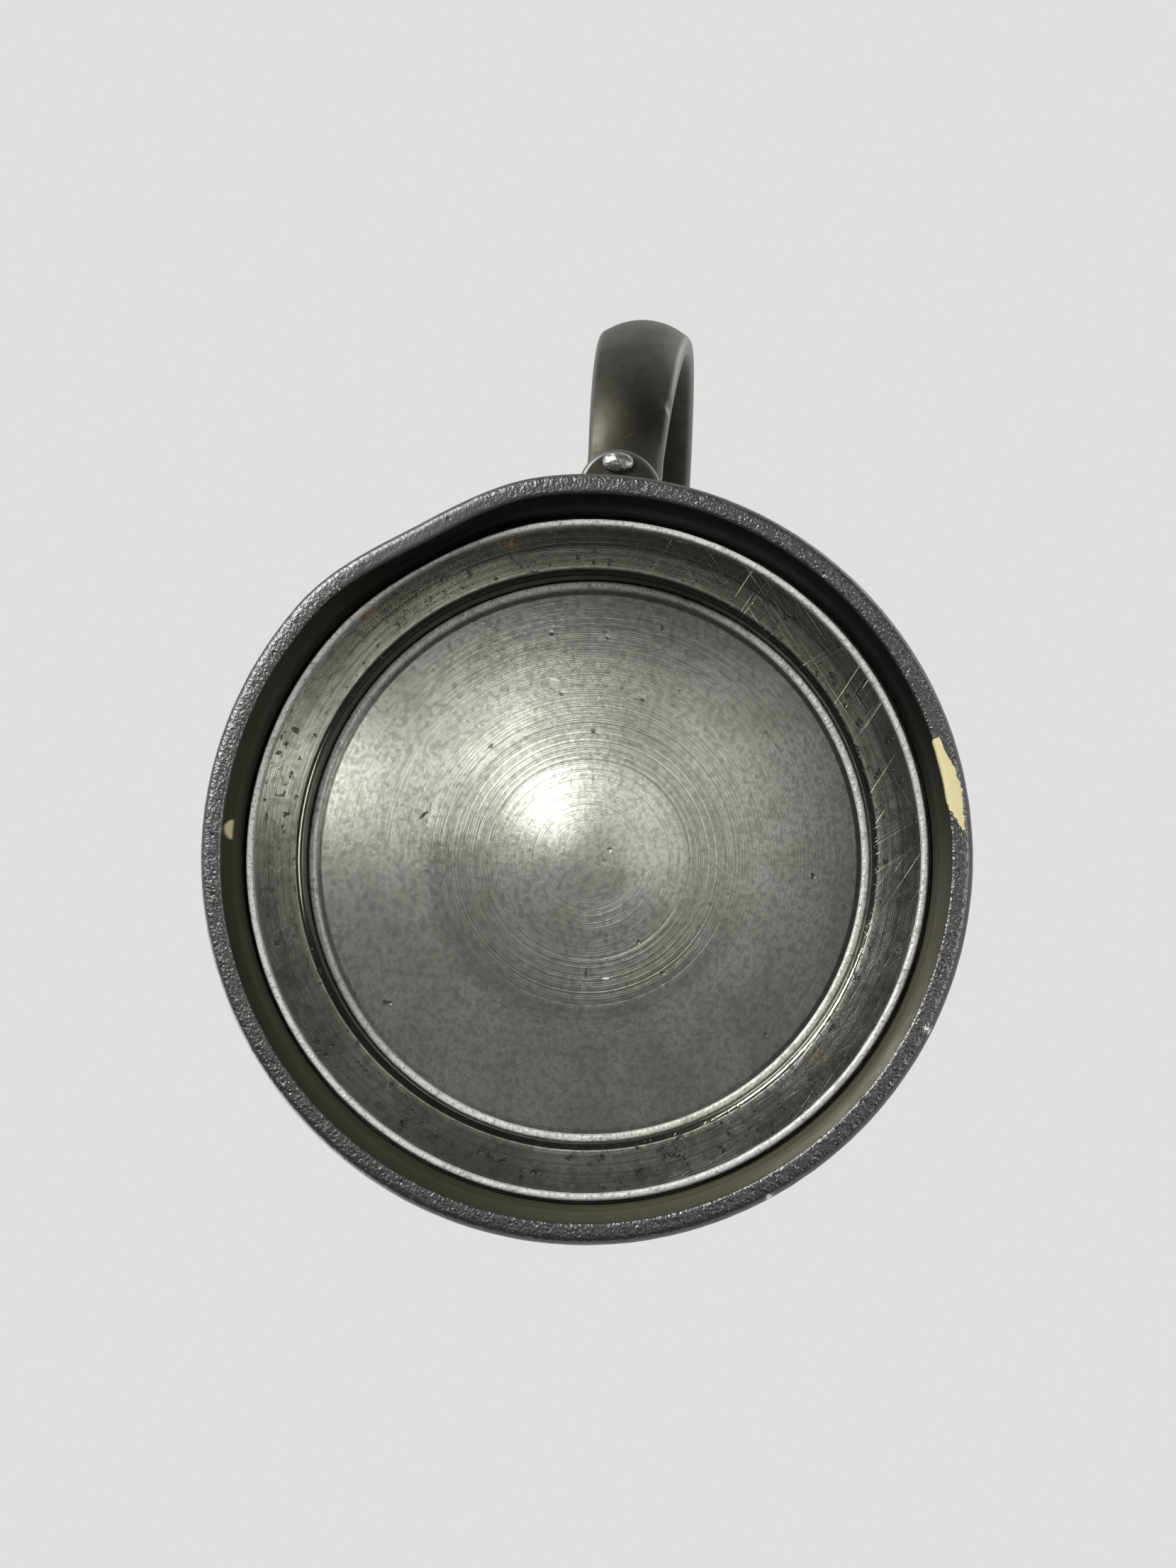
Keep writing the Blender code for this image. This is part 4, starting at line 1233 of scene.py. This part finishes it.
def floor_finish():
    """A pale floor from above and clear from below. Under the pot, only the camera sees it from
    above, so that the lamps and the dark of the room below reach the underside of the pot."""
    material, bench = new_finish("floor_paper")
    seen = bench.node("ShaderNodeLightPath", {}, {}, "Is Camera Ray")
    behind = bench.node("ShaderNodeNewGeometry", {}, {}, "Backfacing")
    place = bench.node("ShaderNodeTexCoord", {}, {}, "Object")
    outside = outside_window(place, POT_WINDOW) * outside_window(place, HANDLE_WINDOW)
    shown = seen.maths("MAXIMUM", outside) * (1.0 - behind)
    paper = bench.node("ShaderNodeBsdfDiffuse", {}, {"Color": (*FLOOR_COLOUR, 1.0)})
    clear = bench.node("ShaderNodeBsdfTransparent", {}, {})
    surface = bench.node("ShaderNodeMixShader", {}, {0: shown, 1: clear, 2: paper})
    bench.node("ShaderNodeOutputMaterial", {}, {"Surface": surface})
    return material


bm = bmesh.new()
bmesh.ops.create_grid(bm, x_segments=1, y_segments=1, size=FLOOR_SIZE)
floor_mesh = bpy.data.meshes.new("floor")
bm.to_mesh(floor_mesh)
bm.free()
floor_mesh.materials.append(floor_finish())
floor = bpy.data.objects.new("floor", floor_mesh)
bpy.context.collection.objects.link(floor)

world = bpy.data.worlds.new("studio")
world.use_nodes = True
world.node_tree.nodes.clear()
bench = Bench(world.node_tree)
upward = part_of(bench.node("ShaderNodeTexCoord", {}, {}, "Generated"), "Z")
room = layered(ROOM_DARK, (between(upward, *ROOM_FADE), ROOM_PALE))
sky = bench.node("ShaderNodeBackground", {}, {"Color": room, "Strength": 1.0})
bench.node("ShaderNodeOutputWorld", {}, {"Surface": sky})
bpy.context.scene.world = world

for name, (place, aim, size, watts) in LAMPS.items():
    light = bpy.data.lights.new(name, "AREA")
    light.size = size
    light.energy = watts
    lamp = bpy.data.objects.new(name, light)
    lamp.location = place
    lamp.rotation_euler = (Vector(aim) - Vector(place)).to_track_quat("-Z", "Y").to_euler()
    bpy.context.collection.objects.link(lamp)

forward = (CAMERA_AIM - CAMERA_PLACE).normalized()
right = forward.cross(Vector((1.0, 0.0, 0.0))).normalized()
up = right.cross(forward)
rolled_right = right * math.cos(CAMERA_ROLL) + up * math.sin(CAMERA_ROLL)
rolled_up = up * math.cos(CAMERA_ROLL) - right * math.sin(CAMERA_ROLL)
lens = bpy.data.cameras.new("camera")
lens.sensor_width = SENSOR
lens.lens = SENSOR * FOCAL_PIXELS / PHOTO_HEIGHT
lens.clip_start = CAMERA_NEAR
camera = bpy.data.objects.new("camera", lens)
turning = Matrix((rolled_right, rolled_up, -forward)).transposed()
camera.matrix_world = Matrix.Translation(CAMERA_PLACE) @ turning.to_4x4()
bpy.context.collection.objects.link(camera)
bpy.context.scene.camera = camera
bpy.context.scene.view_settings.view_transform = "Standard"

bpy.context.view_layer.update()
